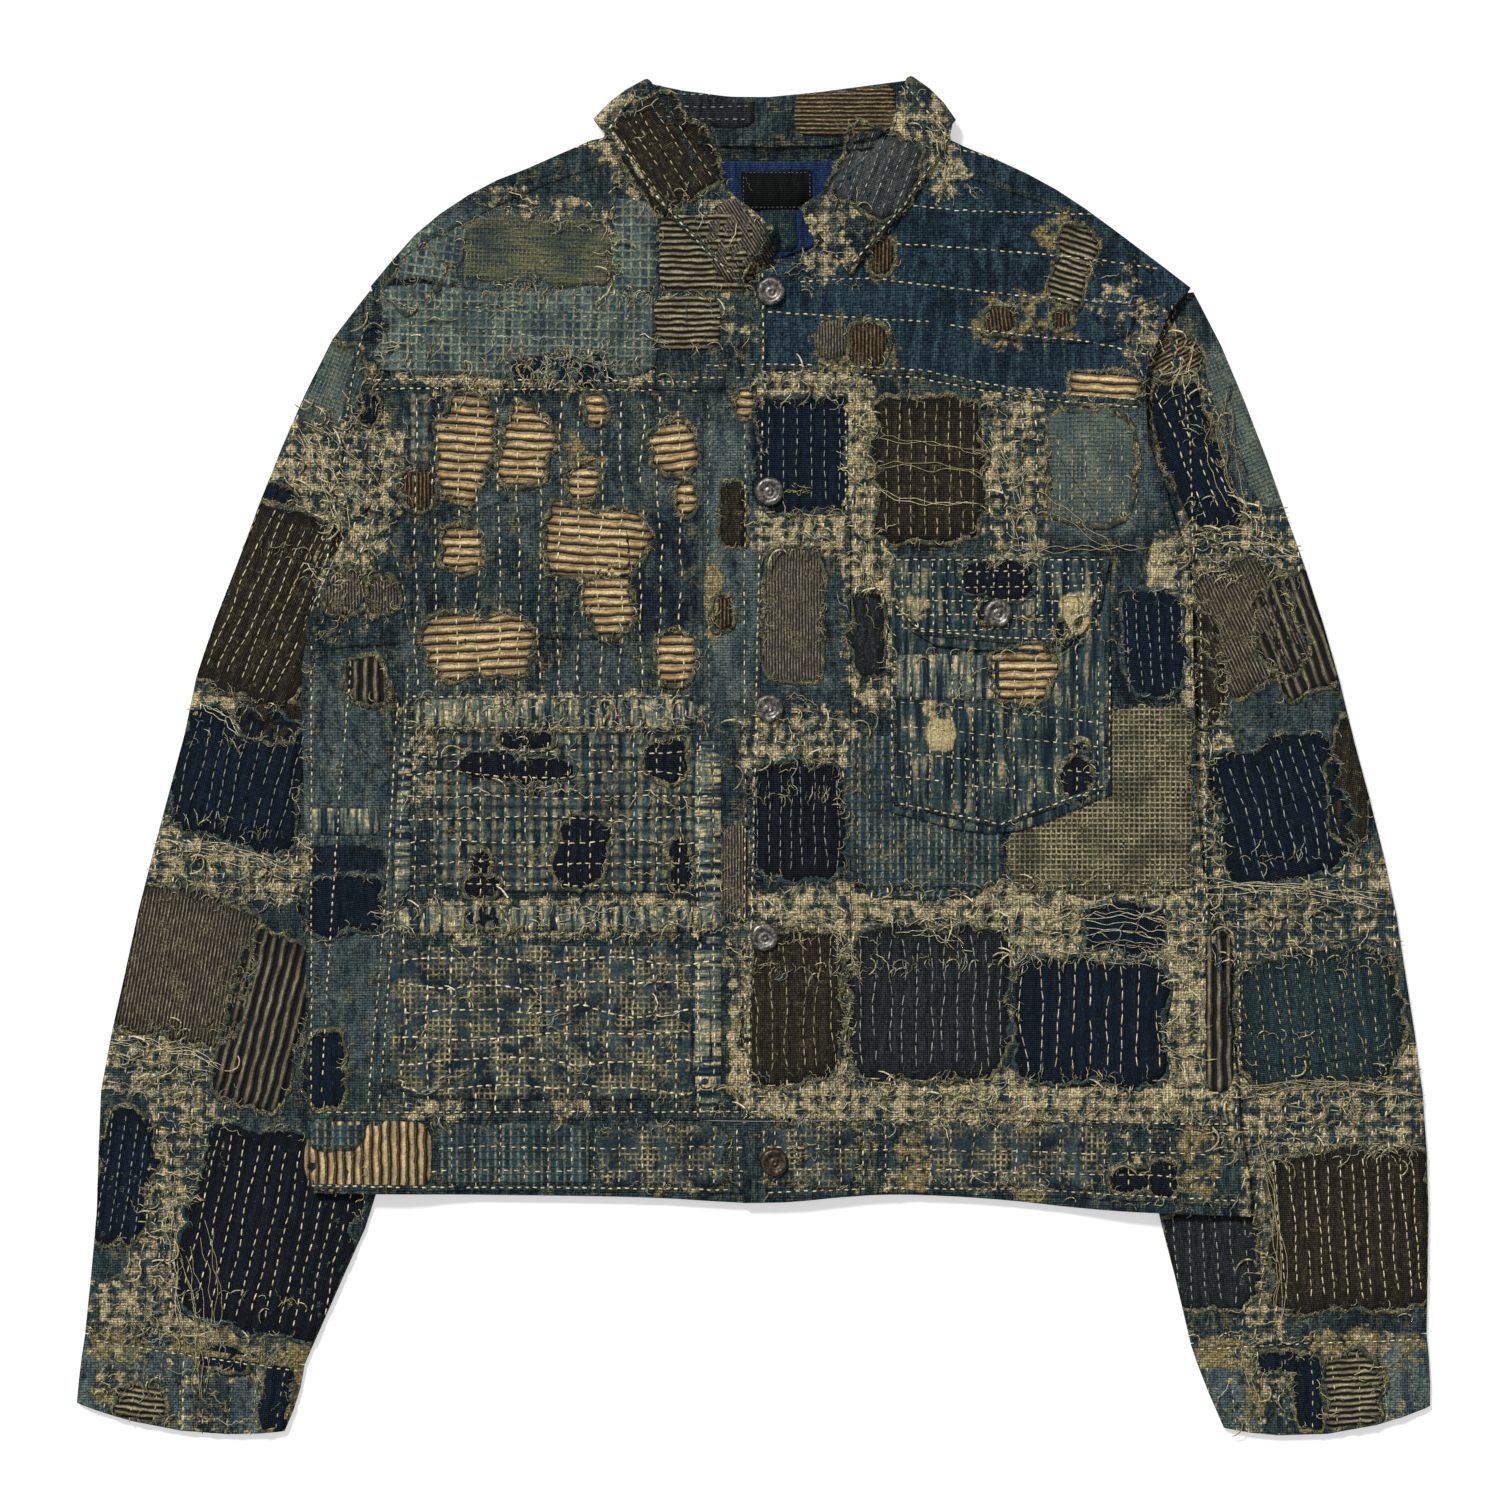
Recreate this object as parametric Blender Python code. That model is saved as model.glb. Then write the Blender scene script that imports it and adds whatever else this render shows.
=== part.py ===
"""A patched boro jacket laid flat on its back: cut panels, sleeves, collar, bands, pocket, buttons, patches.

Metres, +Z up. The jacket lies on z = 0 with its front up and its collar towards +Y, so +X is its own left.
Tables are in millimetres, and each row is one section or one point of an outline.
"""
import math

import bmesh
import bpy
import numpy as np

# Driving sizes in millimetres
MM = 0.001
WALL = 2.2
SEAM_GAP = 0.3
SLEEVE_WALL = 2.0
SLEEVE_HOLLOW = 0.5
SLEEVE_TOP = 2 * SLEEVE_WALL + SLEEVE_HOLLOW
RISE_RUN = 62.0
NECK_RISE = 2.6
PUFF = 1.1
NECK_GAPE = 1.9
CLOSURE_X = 28.0
PATCH_GAP = 0.4
PATCH_WALL = 1.0
BUTTON_RADIUS = 8.5
BUTTON_HEIGHT = 3.4
COLLAR_WALL = 2.0
COLLAR_FOLD_HALF = 1.25
NECK_CENTRE = (9.0, 388.0)
NECK_SPREAD = (112.0, 42.0)

# Sleeve sections from shoulder to cuff: outer edge x, y and inner edge x, y
SLEEVE_RIGHT = [
    (-231, 282, -222, 280), (-243, 269, -216, 260), (-255, 250, -212, 239), (-267, 226, -210, 215),
    (-280, 197, -212, 190), (-295, 160, -219, 157), (-306, 130, -232, 128), (-320, 94, -244, 96),
    (-333, 58, -243, 62), (-342, 17, -228, 22), (-355, -32, -211, -26), (-369, -86, -200, -82),
    (-381, -142, -198, -137), (-392, -194, -206, -188), (-394, -236, -218, -232),
    (-394, -260, -229, -269), (-398, -296, -243, -301), (-399, -326, -256, -332), (-402, -344, -270, -363),
]
SLEEVE_LEFT = [
    (264, 281, 255, 280), (273, 263, 241, 259), (281, 248, 232, 244), (291, 224, 228, 218),
    (302, 197, 229, 191), (315, 160, 239, 161), (326, 130, 249, 132), (338, 94, 249, 98),
    (349, 58, 244, 64), (359, 17, 232, 23), (372, -32, 219, -26), (384, -83, 213, -77),
    (393, -140, 215, -137), (401, -194, 223, -188), (404, -233, 233, -230),
    (405, -260, 242, -269), (405, -296, 250, -299), (404, -326, 257, -329), (404, -344, 262, -350),
]
# Cuff sections from seam to hem, with how far the middle of each bows down
CUFF_RIGHT = [
    (-402, -344.6, -270, -363.6, 0), (-405, -365, -274, -383, 4), (-407, -386, -282, -403, 8),
]
CUFF_LEFT = [
    (404, -344.6, 262, -350.6, 0), (406, -368, 270, -373, 5), (406, -388, 282, -401, 10),
]

# Outlines of the body, each from one corner of a panel to the next
ARMHOLE_RIGHT = [
    (-230, 284), (-221, 256), (-218, 229), (-218, 222), (-219, 199), (-223, 176), (-229, 154),
    (-242, 136), (-255, 122), (-263, 106), (-267, 88), (-270, 67),
]
SIDE_RIGHT = [(-270, 67), (-270, -26), (-269, -116), (-268, -216)]
HEM_SIDE_RIGHT = [(-268, -216), (-267, -236), (-264, -260)]
ARMHOLE_LEFT = [
    (262, 283), (249, 268), (242, 251), (236, 235), (235, 215), (236, 191), (244, 172), (250, 151),
    (256, 133), (261, 118), (263, 85),
]
SIDE_LEFT = [(263, 85), (264, 34), (266, -26), (270, -74), (279, -116), (287, -164), (291, -206), (292, -223)]
HEM_SIDE_LEFT = [(292, -223), (296, -242), (298, -274)]
SHOULDER_RIGHT = [(-230, 284), (-197, 321), (-161, 345), (-131, 357), (-106, 368), (-80, 376)]
SHOULDER_LEFT = [(262, 283), (228, 309), (196, 333), (177, 345), (155, 356), (126, 368), (101, 377)]
NECK_BACK = [(-80, 376), (-62, 369), (-32, 366.5), (9, 365.5), (50, 366.5), (82, 370), (101, 377)]
NECK_RIGHT = [(-80, 376), (-66, 360), (-46, 334), (-20, 309), (2, 296), (28, 292)]
NECK_LEFT = [(101, 377), (91, 362), (76, 341), (52, 318), (28, 303), (2, 292)]
YOKE_SEAM_RIGHT = [(-218, 222), (-152, 223), (-80, 223), (-32, 221), (28, 221)]
YOKE_SEAM_LEFT = [(2, 236), (58, 235), (100, 232), (148, 223), (184, 218), (235, 215)]
CLOSURE = [(2, 292), (2, 236), (-1, 94), (-3, -26), (-6, -146), (-7, -216)]
HEM = [(-264, -260), (-164, -261), (-56, -263), (4, -266), (76, -261), (148, -264), (196, -269), (298, -274)]
WAIST_SEAM = [(-268, -216), (-116, -215), (4, -217), (148, -216), (220, -220), (292, -223)]
BAND_SEAM_RIGHT = -32.0
BAND_SEAM_LEFT = 58.0

# Collar sections: fold x, y; outer edge x, y; neck seam x, y
COLLAR_LEAF_RIGHT = [
    (11, 317, -9, 285, 2, 299), (-11, 335, -51, 326, -28, 322), (-35, 361, -76, 359, -53, 350),
    (-51, 386, -90, 376, -66, 369),
]
COLLAR_CORNER_RIGHT = (-62, 403, -93, 380, -74, 382)
COLLAR_BACK = [
    (-57, 403, -86, 372, -66, 377), (-44, 400, -62, 359, -51, 371.5), (-14, 396, -26, 353, -26, 369),
    (9, 396, 9, 352, 9, 368), (40, 399, 44, 354, 44, 369), (70, 403, 76, 360, 70, 373),
    (84, 405, 98, 374, 86, 380),
]
COLLAR_CORNER_LEFT = (91, 405, 117, 380, 95, 385)
COLLAR_LEAF_LEFT = [
    (87, 388, 117, 372, 92, 373), (81, 370, 103, 349, 85, 355), (58, 350, 82, 320, 63, 332),
    (28, 329, 57, 291, 36, 308),
]
COLLAR_LEAF_FOLD_Z = 12.3
COLLAR_BACK_FOLD_Z = 3.75
COLLAR_BACK_EDGE_Z = 1.0
COLLAR_BACK_SEAM_Z = 3.75

# Buttons down the front: x, y. The last of them sits on the waistband.
BUTTONS = [(10, 281), (9, 161), (9, 31), (6, -106), (12, -241)]
POCKET_BUTTON = (146, 88)

# Patches: name, centre x, y, half width, half height, turn in degrees, squareness, colour
PATCHES_FRONT = [
    ("patch_brown_chest", 106, 173, 31, 43, 0, 5, "brown"),
    ("patch_faded_plaid", 202, 173, 26, 34, 0, 4, "teal"),
    ("patch_ribbed_band", 24, 84, 18, 41, 0, 5, "khaki"),
    ("patch_navy_side", 240, 68, 18, 32, 4, 4, "navy"),
    ("patch_navy_band", 22, -38, 24, 34, 0, 6, "navy"),
    ("patch_dashed_teal", 101, -68, 38, 18, 0, 5, "teal"),
    ("patch_khaki_check", 240, -34, 19, 44, 0, 5, "khaki"),
    ("patch_brown_hem", 24, -155, 25, 38, 0, 6, "brown"),
    ("patch_charcoal_hem", 106, -148, 45, 43, 0, 6, "charcoal"),
    ("patch_navy_hem", 203, -162, 44, 36, 0, 6, "navy"),
    ("patch_stitched_grid", -108, -34, 84, 48, 0, 8, "teal"),
    ("patch_chest_ticking", -108, 108, 34, 38, 0, 4, "cream"),
    ("patch_lower_grid", -122, -160, 96, 46, 0, 8, "teal"),
    ("patch_yoke_ticking", -40, 260, 20, 16, 0, 5, "cream"),
    ("patch_shoulder_black", -203, 285, 12, 20, -38, 4, "navy"),
    ("patch_yoke_denim", 186, 286, 44, 38, 0, 5, "navy"),
]
PATCHES_SLEEVE_RIGHT = [
    ("patch_brown_sleeve", -297, 96, 19, 46, -24, 5, "brown"),
    ("patch_navy_elbow", -311, -12, 34, 32, -14, 5, "navy"),
    ("patch_corduroy_right", -345, -124, 30, 38, -12, 5, "khaki"),
    ("patch_black_forearm", -308, -297, 34, 38, -12, 6, "navy"),
]
PATCHES_SLEEVE_LEFT = [
    ("patch_navy_shoulder", 261, 182, 12, 44, 22, 4, "navy"),
    ("patch_corduroy_left", 297, 80, 24, 34, 24, 4, "khaki"),
    ("patch_navy_sleeve", 318, -34, 32, 38, 16, 5, "navy"),
    ("patch_teal_forearm", 341, -148, 44, 36, 8, 5, "teal"),
    ("patch_brown_forearm", 360, -284, 36, 40, 4, 6, "brown"),
]

# Colours as linear red, green, blue, and roughness
COLOURS = {
    "denim": ((0.042, 0.062, 0.075), 0.9),
    "dark_denim": ((0.024, 0.037, 0.05), 0.9),
    "teal": ((0.05, 0.078, 0.085), 0.9),
    "navy": ((0.008, 0.012, 0.022), 0.9),
    "brown": ((0.03, 0.02, 0.013), 0.95),
    "charcoal": ((0.02, 0.021, 0.023), 0.95),
    "khaki": ((0.13, 0.105, 0.06), 0.95),
    "cream": ((0.4, 0.31, 0.19), 0.9),
    "blue_lining": ((0.018, 0.035, 0.11), 0.85),
    "label": ((0.012, 0.013, 0.016), 0.8),
    "button_metal": ((0.16, 0.12, 0.075), 0.45),
}


def smooth(value):
    """Ease from 0 to 1 as the value runs from 0 to 1."""
    t = np.clip(value, 0.0, 1.0)
    return t * t * (3.0 - 2.0 * t)


def through(rows, count):
    """Points evenly spread along a smooth curve through the rows, one column for each of their columns."""
    rows = np.array(rows, float)
    steps = np.hypot(*np.diff(rows[:, :2], axis=0).T)
    at = np.concatenate([[0.0], np.cumsum(steps)])
    slopes = np.gradient(rows, at, axis=0)
    s = np.linspace(0.0, at[-1], count)
    k = np.clip(np.searchsorted(at, s, side="right") - 1, 0, len(at) - 2)
    span = (at[k + 1] - at[k])[:, None]
    t = ((s - at[k])[:, None]) / span
    start = (1 + 2 * t) * (1 - t) ** 2 * rows[k] + t * (1 - t) ** 2 * span * slopes[k]
    end = t * t * (3 - 2 * t) * rows[k + 1] + t * t * (t - 1) * span * slopes[k + 1]
    return start + end


def part_of(rows, low=None, high=None, column=0):
    """The stretch of a smooth outline whose x or y, as the column says, lies between low and high."""
    fine = through(rows, 400)
    order = np.argsort(fine[:, column])
    start = fine[order[0], column] if low is None else low
    end = fine[order[-1], column] if high is None else high
    at = np.linspace(start, end, 12)
    other = np.interp(at, fine[order, column], fine[order, 1 - column])
    points = np.stack([at, other] if column == 0 else [other, at], axis=1)
    if fine[0, column] > fine[-1, column]:
        points = points[::-1]
    return [tuple(point) for point in points]


def inner_edge_x(sections, y):
    """Where the hidden inner edge of a sleeve runs at each height y."""
    points = through([(row[2], row[3]) for row in sections], 160)
    order = np.argsort(points[:, 1])
    return np.interp(y, points[order, 1], points[order, 0])


def neck_distance(x, y):
    """How far out from the neck's centre, with 1 on the ellipse that the collar's fall lies under."""
    across = (x - NECK_CENTRE[0]) / NECK_SPREAD[0]
    along = (y - NECK_CENTRE[1]) / NECK_SPREAD[1]
    return np.hypot(across, along)


def back_low(x, y):
    """Underside of the back: on the floor in the middle, and over the sleeves and the collar's fall."""
    right = smooth((inner_edge_x(SLEEVE_RIGHT, y) + RISE_RUN - x) / (RISE_RUN - 3.0))
    left = smooth((x - inner_edge_x(SLEEVE_LEFT, y) + RISE_RUN) / (RISE_RUN - 3.0))
    over_sleeve = (SLEEVE_TOP + SEAM_GAP + 0.15) * np.maximum(right, left)
    over_fall = NECK_RISE * smooth((2.6 - neck_distance(x, y)) / 1.5)
    return np.maximum(over_sleeve, over_fall)


def back_high(x, y):
    return back_low(x, y) + WALL


def puff(x, y):
    """The small space between the back and the fronts, which closes towards the side seams."""
    from_sides = np.minimum(x + 268.0, 292.0 - x)
    body = PUFF * smooth(from_sides / 60.0)
    neck = NECK_GAPE * smooth((3.0 - neck_distance(x, y)) / 1.7)
    return np.maximum(body, neck)


def under_low(x, y):
    """Underside of the fronts where nothing else lies between them and the back."""
    return back_high(x, y) + SEAM_GAP + puff(x, y)


def under_high(x, y):
    return under_low(x, y) + WALL


def over_low(x, y):
    """Underside of the wearer's left front, which laps over the right one at the closure."""
    lap = (WALL + SEAM_GAP) * (1.0 - smooth((x - CLOSURE_X - 8.0) / 60.0))
    return under_low(x, y) + np.where(x > -30.0, lap, WALL + SEAM_GAP)


def over_high(x, y):
    return over_low(x, y) + WALL


def front_high(x, y):
    """Top of the two fronts as one surface, for what is sewn on either of them."""
    return np.where(x < -12.0, under_high(x, y), over_high(x, y))


def new_material(name):
    colour, roughness = COLOURS[name]
    if name in bpy.data.materials:
        return bpy.data.materials[name]
    material = bpy.data.materials.new(name)
    material.use_nodes = True
    shader = material.node_tree.nodes["Principled BSDF"]
    shader.inputs["Base Color"].default_value = (*colour, 1.0)
    shader.inputs["Roughness"].default_value = roughness
    shader.inputs["Metallic"].default_value = 0.9 if name == "button_metal" else 0.0
    return material


def add_object(name, points, faces, colour):
    """A mesh object from points in millimetres, with its faces turned outwards."""
    mesh = bpy.data.meshes.new(name)
    mesh.from_pydata([tuple(np.array(p, float) * MM) for p in points], [], faces)
    outward = bmesh.new()
    outward.from_mesh(mesh)
    bmesh.ops.recalc_face_normals(outward, faces=outward.faces[:])
    outward.to_mesh(mesh)
    outward.free()
    mesh.materials.append(new_material(colour))
    piece = bpy.data.objects.new(name, mesh)
    bpy.context.scene.collection.objects.link(piece)
    return piece


def grid_solid(name, plan, low, high, colour):
    """A closed wall over a grid of plan points, between two height functions."""
    across, along = plan.shape[:2]
    x, y = plan[..., 0], plan[..., 1]
    bottom = np.dstack([x, y, low(x, y)]).reshape(-1, 3)
    top = np.dstack([x, y, high(x, y)]).reshape(-1, 3)
    count = across * along

    def at(i, j, layer):
        return layer * count + i * along + j

    faces = []
    for i in range(across - 1):
        for j in range(along - 1):
            faces.append((at(i, j, 1), at(i + 1, j, 1), at(i + 1, j + 1, 1), at(i, j + 1, 1)))
            faces.append((at(i, j, 0), at(i, j + 1, 0), at(i + 1, j + 1, 0), at(i + 1, j, 0)))
    for i in range(across - 1):
        faces.append((at(i, 0, 0), at(i + 1, 0, 0), at(i + 1, 0, 1), at(i, 0, 1)))
        faces.append((at(i + 1, along - 1, 0), at(i, along - 1, 0), at(i, along - 1, 1), at(i + 1, along - 1, 1)))
    for j in range(along - 1):
        faces.append((at(0, j + 1, 0), at(0, j, 0), at(0, j, 1), at(0, j + 1, 1)))
        faces.append((at(across - 1, j, 0), at(across - 1, j + 1, 0), at(across - 1, j + 1, 1), at(across - 1, j, 1)))
    return add_object(name, np.vstack([bottom, top]), faces, colour)


def filled_outline(bottom, top, left, right, across, along):
    """Plan points inside four sides. Bottom and top run left to right, left and right run upwards."""
    b, t = through(bottom, across), through(top, across)
    le, r = through(left, along), through(right, along)
    u = np.linspace(0, 1, across)[:, None, None]
    v = np.linspace(0, 1, along)[None, :, None]
    lengthwise = (1 - v) * b[:, None] + v * t[:, None]
    crosswise = (1 - u) * le[None] + u * r[None]
    corners = (1 - u) * ((1 - v) * b[0] + v * t[0]) + u * ((1 - v) * b[-1] + v * t[-1])
    return lengthwise + crosswise - corners


def seam_inset(plan, gap=SEAM_GAP / 2 + 0.05):
    """Draws the outline of a panel in by a seam's half gap, towards its own next row of points."""
    drawn = plan.copy()
    for edge, inner in (((0, slice(None)), (1, slice(None))), ((-1, slice(None)), (-2, slice(None)))):
        step = plan[inner] - plan[edge]
        drawn[edge] += gap * step / np.linalg.norm(step, axis=-1, keepdims=True)
    for edge, inner in (((slice(None), 0), (slice(None), 1)), ((slice(None), -1), (slice(None), -2))):
        step = plan[inner] - plan[edge]
        drawn[edge] += gap * step / np.linalg.norm(step, axis=-1, keepdims=True)
    return drawn


def panel(name, sides, cells, low, high, colour):
    plan = filled_outline(*sides, *cells)
    return grid_solid(name, seam_inset(plan), low, high, colour)


def reverse(rows):
    return list(reversed(rows))


def build_body():
    """Back, fronts, yokes, closure bands and waistband."""
    armhole_low_right = part_of(ARMHOLE_RIGHT, high=222, column=1)
    armhole_top_right = part_of(ARMHOLE_RIGHT, low=222, column=1)
    armhole_low_left = part_of(ARMHOLE_LEFT, high=215, column=1)
    armhole_top_left = part_of(ARMHOLE_LEFT, low=215, column=1)
    side_right = reverse(armhole_low_right + SIDE_RIGHT[1:])
    side_left = reverse(armhole_low_left + SIDE_LEFT[1:])
    whole_right = reverse(ARMHOLE_RIGHT + SIDE_RIGHT[1:])
    whole_left = reverse(ARMHOLE_LEFT + SIDE_LEFT[1:])
    back_top = SHOULDER_RIGHT + NECK_BACK[1:] + reverse(SHOULDER_LEFT)[1:]
    panel("back_panel", (WAIST_SEAM, back_top, whole_right, whole_left), (45, 17), back_low, back_high, "denim")
    panel("waistband_back", (HEM, WAIST_SEAM, reverse(HEM_SIDE_RIGHT), reverse(HEM_SIDE_LEFT)), (45, 3),
          back_low, back_high, "denim")

    waist_right = part_of(WAIST_SEAM, high=BAND_SEAM_RIGHT)
    yoke_right = part_of(YOKE_SEAM_RIGHT, high=BAND_SEAM_RIGHT)
    band_edge = [(BAND_SEAM_RIGHT, yoke_right[-1][1]), (BAND_SEAM_RIGHT, waist_right[-1][1])]
    panel("front_right", (waist_right, yoke_right, side_right, reverse(band_edge)), (19, 19),
          under_low, under_high, "denim")
    waist_left = part_of(WAIST_SEAM, low=BAND_SEAM_LEFT)
    yoke_left = part_of(YOKE_SEAM_LEFT, low=BAND_SEAM_LEFT)
    lap_edge = [(BAND_SEAM_LEFT, yoke_left[0][1]), (BAND_SEAM_LEFT, waist_left[0][1])]
    panel("front_left", (waist_left, yoke_left, reverse(lap_edge), side_left), (19, 19),
          over_low, over_high, "denim")

    panel("button_band", ([(BAND_SEAM_RIGHT, -216), (CLOSURE_X, -216)], [(BAND_SEAM_RIGHT, 221), (CLOSURE_X, 221)],
                          reverse(band_edge), [(CLOSURE_X, -216), (CLOSURE_X, 221)]), (4, 17),
          under_low, under_high, "denim")
    closure = reverse(CLOSURE[1:])
    panel("buttonhole_band", ([(-7, -216), (BAND_SEAM_LEFT, -216)], [(2, 236), (BAND_SEAM_LEFT, 235)],
                              closure, reverse(lap_edge)), (5, 19), over_low, over_high, "dark_denim")

    panel("yoke_right", (YOKE_SEAM_RIGHT, SHOULDER_RIGHT + NECK_RIGHT[1:], reverse(armhole_top_right),
                         [(28, 221), (28, 292)]), (17, 9), under_low, under_high, "denim")
    panel("yoke_left", (YOKE_SEAM_LEFT, reverse(SHOULDER_LEFT + NECK_LEFT[1:]), [(2, 236), (2, 292)],
                        reverse(armhole_top_left)), (17, 9), over_low, over_high, "dark_denim")

    hem_right = part_of(HEM, high=CLOSURE_X)
    seam_right = part_of(WAIST_SEAM, high=CLOSURE_X)
    panel("waistband_right", (hem_right, seam_right, reverse(HEM_SIDE_RIGHT), [hem_right[-1], seam_right[-1]]),
          (25, 3), under_low, under_high, "denim")
    hem_left = part_of(HEM, low=-7)
    seam_left = part_of(WAIST_SEAM, low=-7)
    panel("waistband_left", (hem_left, seam_left, [hem_left[0], seam_left[0]], reverse(HEM_SIDE_LEFT)),
          (25, 3), over_low, over_high, "denim")


def tube_ring(outer, inner, bow, half_height):
    """Points round one section of a flattened tube, from its outer edge over the top to its inner edge and back."""
    turns = np.array([180, 158, 130, 110, 90, 70, 50, 22, 0, -22, -50, -70, -90, -110, -130, -158]) * math.pi / 180
    centre = (outer + inner) / 2
    reach = (inner - outer) / 2
    ring = []
    for turn in turns:
        along = math.copysign(abs(math.cos(turn)) ** 0.7, math.cos(turn))
        upright = math.copysign(abs(math.sin(turn)) ** 0.35, math.sin(turn))
        dip = bow * (1 - along * along)
        ring.append((centre[0] + reach[0] * along, centre[1] + reach[1] * along - dip,
                     SLEEVE_TOP / 2 + half_height * upright))
    return ring


def tube(name, rows, sections, colour):
    """A flattened tube of cloth, open at both ends, through sections of its outer and inner edges."""
    curve = through(rows, sections)
    outside, inside = [], []
    for row in curve:
        outer, inner = row[0:2], row[2:4]
        bow = row[4] if len(row) > 4 else 0.0
        width = np.linalg.norm(inner - outer)
        draw = (inner - outer) / width * SLEEVE_WALL
        outside.append(tube_ring(outer, inner, bow, SLEEVE_TOP / 2))
        inside.append(tube_ring(outer + draw, inner - draw, bow, SLEEVE_HOLLOW / 2))
    sides = len(outside[0])
    points = [p for ring in outside for p in ring] + [p for ring in inside for p in ring]
    shift = sections * sides
    faces = []
    for k in range(sections - 1):
        for j in range(sides):
            a, b = k * sides + j, k * sides + (j + 1) % sides
            c, d = b + sides, a + sides
            faces.append((a, b, c, d))
            faces.append((shift + d, shift + c, shift + b, shift + a))
    for j in range(sides):
        a, b = j, (j + 1) % sides
        faces.append((b, a, shift + a, shift + b))
        a, b = a + shift - sides, b + shift - sides
        faces.append((a, b, shift + b, shift + a))
    piece = add_object(name, points, faces, colour)
    return piece


def sleeve_top(x, y):
    return np.full(np.shape(x), SLEEVE_TOP)


def collar_stations():
    """Sections of the collar from its right leaf round the back to its left one.

    Each is the centre of the fold, of the fall's edge and of the stand's seam, with the turn of the cloth:
    0 on a leaf, a half turn at the back, and in between round the corner over the shoulder.
    """
    stations = []

    def leaf(row):
        fold, edge, seam = np.array(row[0:2], float), np.array(row[2:4], float), np.array(row[4:6], float)
        edge_z = front_high(edge[0], edge[1]) + SEAM_GAP + COLLAR_WALL / 2 + 0.15
        seam_z = front_high(seam[0], seam[1]) + SEAM_GAP + COLLAR_WALL / 2 + 0.15
        stations.append((*fold, COLLAR_LEAF_FOLD_Z, *edge, float(edge_z), *seam, float(seam_z), 0.0))

    def corner(row, degrees):
        fold, edge, seam = np.array(row[0:2], float), np.array(row[2:4], float), np.array(row[4:6], float)
        outward = edge - fold
        out = np.array([outward[1], -outward[0]]) / np.linalg.norm(outward)
        if out[1] < 0:
            out = -out
        leaf_edge = float(front_high(edge[0], edge[1])) + SEAM_GAP + COLLAR_WALL / 2 + 0.3
        for turn in degrees:
            swing, lift = math.sin(math.radians(turn)), math.cos(math.radians(turn))
            heights = []
            for high, low in ((COLLAR_LEAF_FOLD_Z, COLLAR_BACK_FOLD_Z), (leaf_edge, COLLAR_BACK_EDGE_Z),
                              (leaf_edge, COLLAR_BACK_SEAM_Z)):
                heights.append(((high + low) / 2, (high - low) / 2))
            places = []
            for point, (middle, radius) in zip((fold, edge, seam), heights):
                places += [*(point + out * swing * radius), middle + radius * lift]
            stations.append((*places, float(turn)))

    for row in COLLAR_LEAF_RIGHT:
        leaf(row)
    corner(COLLAR_CORNER_RIGHT, (30, 60, 90, 120, 150))
    for row in COLLAR_BACK:
        stations.append((row[0], row[1], COLLAR_BACK_FOLD_Z, row[2], row[3], COLLAR_BACK_EDGE_Z,
                         row[4], row[5], COLLAR_BACK_SEAM_Z, 180.0))
    corner(COLLAR_CORNER_LEFT, (150, 120, 90, 60, 30))
    for row in COLLAR_LEAF_LEFT:
        leaf(row)
    return stations


def build_collar():
    """The folded collar: stand and fall joined along the fold, as one wall swept round the neck."""
    rings = []
    half, wall = COLLAR_FOLD_HALF, COLLAR_WALL / 2
    stations = collar_stations()
    for k, row in enumerate(stations):
        fold, edge, seam = np.array(row[0:3]), np.array(row[3:6]), np.array(row[6:9])
        turn = math.radians(row[9])
        ruling = edge - fold
        flat = np.array([ruling[0], ruling[1], 0.0]) / np.hypot(ruling[0], ruling[1])
        out = np.array([flat[1], -flat[0], 0.0])
        if out[1] < 0:
            out = -out
        across = out * math.sin(turn) + np.array([0.0, 0.0, math.cos(turn)])
        bulge = (0.7 * (1 + math.cos(turn)) + 1.6 * math.sin(turn)) * across

        def fall(t, side):
            middle = (1 - t) * (fold + half * across) + t * edge + 4 * t * (1 - t) * bulge
            return middle + side * wall * across

        def stand(t, side):
            return (1 - t) * (fold - half * across) + t * seam + side * wall * across

        def roll(radius, steps):
            points = []
            for step in steps:
                a = math.radians(step)
                points.append(fold + radius * (math.cos(a) * across - math.sin(a) * flat))
            return points

        ring = [fall(t, 1) for t in (1.0, 0.66, 0.33)]
        ring += roll(half + wall, (0, 45, 90, 135, 180))
        ring += [stand(t, -1) for t in (0.5, 1.0)]
        ring += [stand(t, 1) for t in (1.0, 0.5)]
        ring += roll(half - wall, (180, 90, 0))
        ring += [fall(t, -1) for t in (0.33, 0.66, 1.0)]
        rings.append(ring)
    sides = len(rings[0])
    points = [p for ring in rings for p in ring]
    faces = []
    for k in range(len(rings) - 1):
        for j in range(sides):
            a, b = k * sides + j, k * sides + (j + 1) % sides
            faces.append((a, b, b + sides, a + sides))
    last = (len(rings) - 1) * sides
    # Each end is closed by quads that join the outside of the folded wall to its inside
    pairs = [(0, 17), (1, 16), (2, 15), (3, 14), (5, 13), (7, 12), (8, 11), (9, 10)]
    for (a, b), (c, d) in zip(pairs, pairs[1:]):
        near = [a, *range(a + 1, c + 1), d] + list(range(d + 1, b + 1))
        faces.append(tuple(reversed(near)))
        faces.append(tuple(last + i for i in near))
    return add_object("collar", points, faces, "denim")


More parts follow.
